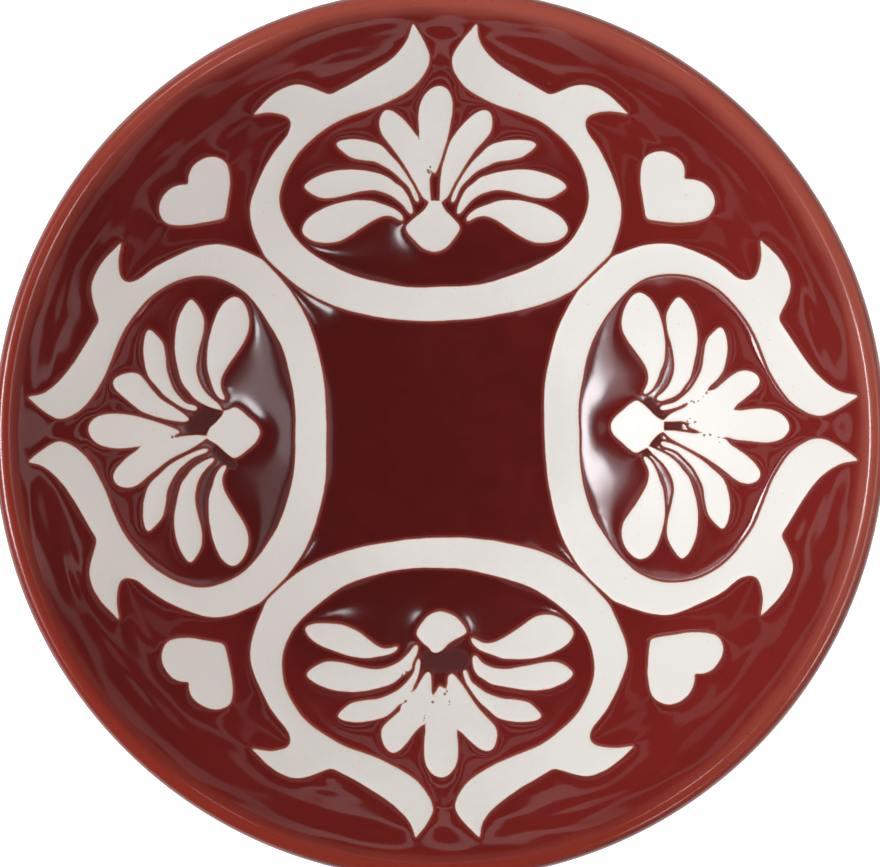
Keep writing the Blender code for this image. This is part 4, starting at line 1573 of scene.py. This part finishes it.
class BOWL_OT_stage(bpy.types.Operator):
    """Pale table, softboxes, room light and the camera above the bowl"""

    bl_idname = "bowl.stage"
    bl_label = "Stage"

    def execute(self, context):
        scene = context.scene
        self.table(scene)
        stage = scene.bowl_stage
        for name, zenith, azimuth, distance, size, field, share, tint, mirrored in SOFTBOXES:
            self.softbox(name, zenith, azimuth, distance, size, getattr(stage, field) * share,
                         tint, mirrored)
        self.room(scene, stage.surround)
        self.camera(scene, stage.camera_height)
        scene.view_settings.view_transform = "Standard"
        return {"FINISHED"}

    @staticmethod
    def table(scene):
        bm = bmesh.new()
        bmesh.ops.create_grid(bm, x_segments=2, y_segments=2, size=3.0)
        mesh = bpy.data.meshes.new("table_top")
        bm.to_mesh(mesh)
        bm.free()
        mesh.materials.append(table_surface(scene.bowl_colours))
        top = bpy.data.objects.new("table_top", mesh)
        scene.collection.objects.link(top)

    @staticmethod
    def softbox(name, from_zenith, azimuth, distance, size, brightness, tint, mirrored):
        """A soft panel that looks at the bowl from the given direction. Where it isn't
        mirrored it only lights, and leaves no picture of itself in the glaze."""
        light = bpy.data.lights.new(name, "AREA")
        light.shape = "RECTANGLE"
        light.size, light.size_y = size
        light.energy = brightness * math.pi * size[0] * size[1]
        light.color = tint
        lamp = bpy.data.objects.new(name, light)
        lamp.visible_glossy = mirrored
        tilt, turn = math.radians(from_zenith), math.radians(azimuth)
        towards = Vector((math.sin(tilt) * math.cos(turn), math.sin(tilt) * math.sin(turn),
                          math.cos(tilt)))
        lamp.location = towards * distance
        lamp.rotation_euler = towards.to_track_quat("Z", "Y").to_euler()
        bpy.context.scene.collection.objects.link(lamp)

    @staticmethod
    def room(scene, brightness):
        """Dark room with uneven pale bands low down, as windows and walls leave them. The
        highest band stands only before the four palmettes."""
        room = Surface("room", bpy.data.worlds, "Background")
        scene.world = room.material
        way = room.node("ShaderNodeTexCoord", output="Generated")
        side, front, height = (room.axis(way, letter) for letter in "XYZ")
        wavy = height + (room.noise(way, 3.5, 2.0) - 0.5) * 0.12
        diagonal = abs(side * front) / (side * side + front * front)
        square = 1 - diagonal.rise(0.26, 0.40)
        glow = (wavy.between(0.45, 0.54, 0.008) * square * 0.65
                + (wavy.between(0.36, 0.39, 0.008) * 0.65
                   + wavy.between(0.25, 0.285, 0.008) * 1.00) * (square * 0.5 + 0.5)
                + (1 - wavy.rise(0.12, 0.15)) * 0.40)
        room.set(color=room.mix(glow, (0.07, 0.07, 0.07), (1.0, 0.97, 0.95)),
                 strength=brightness)

    @staticmethod
    def camera(scene, height):
        """Camera straight above the bowl, framed as the photograph is."""
        image_width, rim_pixels = 880.0, 445.75
        rim_centre = (439.67, 434.34)
        image_centre = (440.0, 433.5)
        sizes = scene.bowl_sizes
        lip_height = Profile(sizes).lip_z
        data = bpy.data.cameras.new("overhead_camera")
        data.sensor_width = 36.0
        focal_pixels = rim_pixels * (height - lip_height) / sizes.rim_radius
        data.lens = data.sensor_width * focal_pixels / image_width
        data.shift_x = (image_centre[0] - rim_centre[0]) / image_width
        data.shift_y = (rim_centre[1] - image_centre[1]) / image_width
        data.clip_start = 0.01
        camera = bpy.data.objects.new("overhead_camera", data)
        camera.location = (0.0, 0.0, height)
        scene.collection.objects.link(camera)
        scene.camera = camera


class BOWL_PT_pieces(bpy.types.Panel):
    """Buttons for the pieces, and their sizes and colours"""

    bl_label = "Palmette Bowl"
    bl_idname = "BOWL_PT_pieces"
    bl_space_type = "VIEW_3D"
    bl_region_type = "UI"
    bl_category = "Palmette Bowl"

    def draw(self, context):
        column = self.layout.column(align=True)
        for operator in OPERATORS:
            column.operator(operator.bl_idname)
        for group in (context.scene.bowl_sizes, context.scene.bowl_colours,
                      context.scene.bowl_stage):
            box = self.layout.box()
            for name in group.__annotations__:
                box.prop(group, name)


GROUPS = {"bowl_sizes": BowlSizes, "bowl_colours": BowlColours, "bowl_stage": BowlStage}
OPERATORS = (BOWL_OT_clay_body, BOWL_OT_outside_glaze, BOWL_OT_lip_glaze, BOWL_OT_frames,
             BOWL_OT_petals, BOWL_OT_diamonds, BOWL_OT_hearts, BOWL_OT_ground_glaze,
             BOWL_OT_stage)


def register():
    for name, group in GROUPS.items():
        bpy.utils.register_class(group)
        setattr(bpy.types.Scene, name, PointerProperty(type=group))
    for operator in OPERATORS:
        bpy.utils.register_class(operator)
    bpy.utils.register_class(BOWL_PT_pieces)


def unregister():
    bpy.utils.unregister_class(BOWL_PT_pieces)
    for operator in reversed(OPERATORS):
        bpy.utils.unregister_class(operator)
    for name, group in GROUPS.items():
        delattr(bpy.types.Scene, name)
        bpy.utils.unregister_class(group)


def main():
    register()
    bpy.ops.bowl.clay_body()
    bpy.ops.bowl.outside_glaze()
    bpy.ops.bowl.lip_glaze()
    bpy.ops.bowl.frames()
    bpy.ops.bowl.petals()
    bpy.ops.bowl.diamonds()
    bpy.ops.bowl.hearts()
    bpy.ops.bowl.ground_glaze()
    bpy.ops.bowl.stage()


if __name__ == "__main__":
    main()
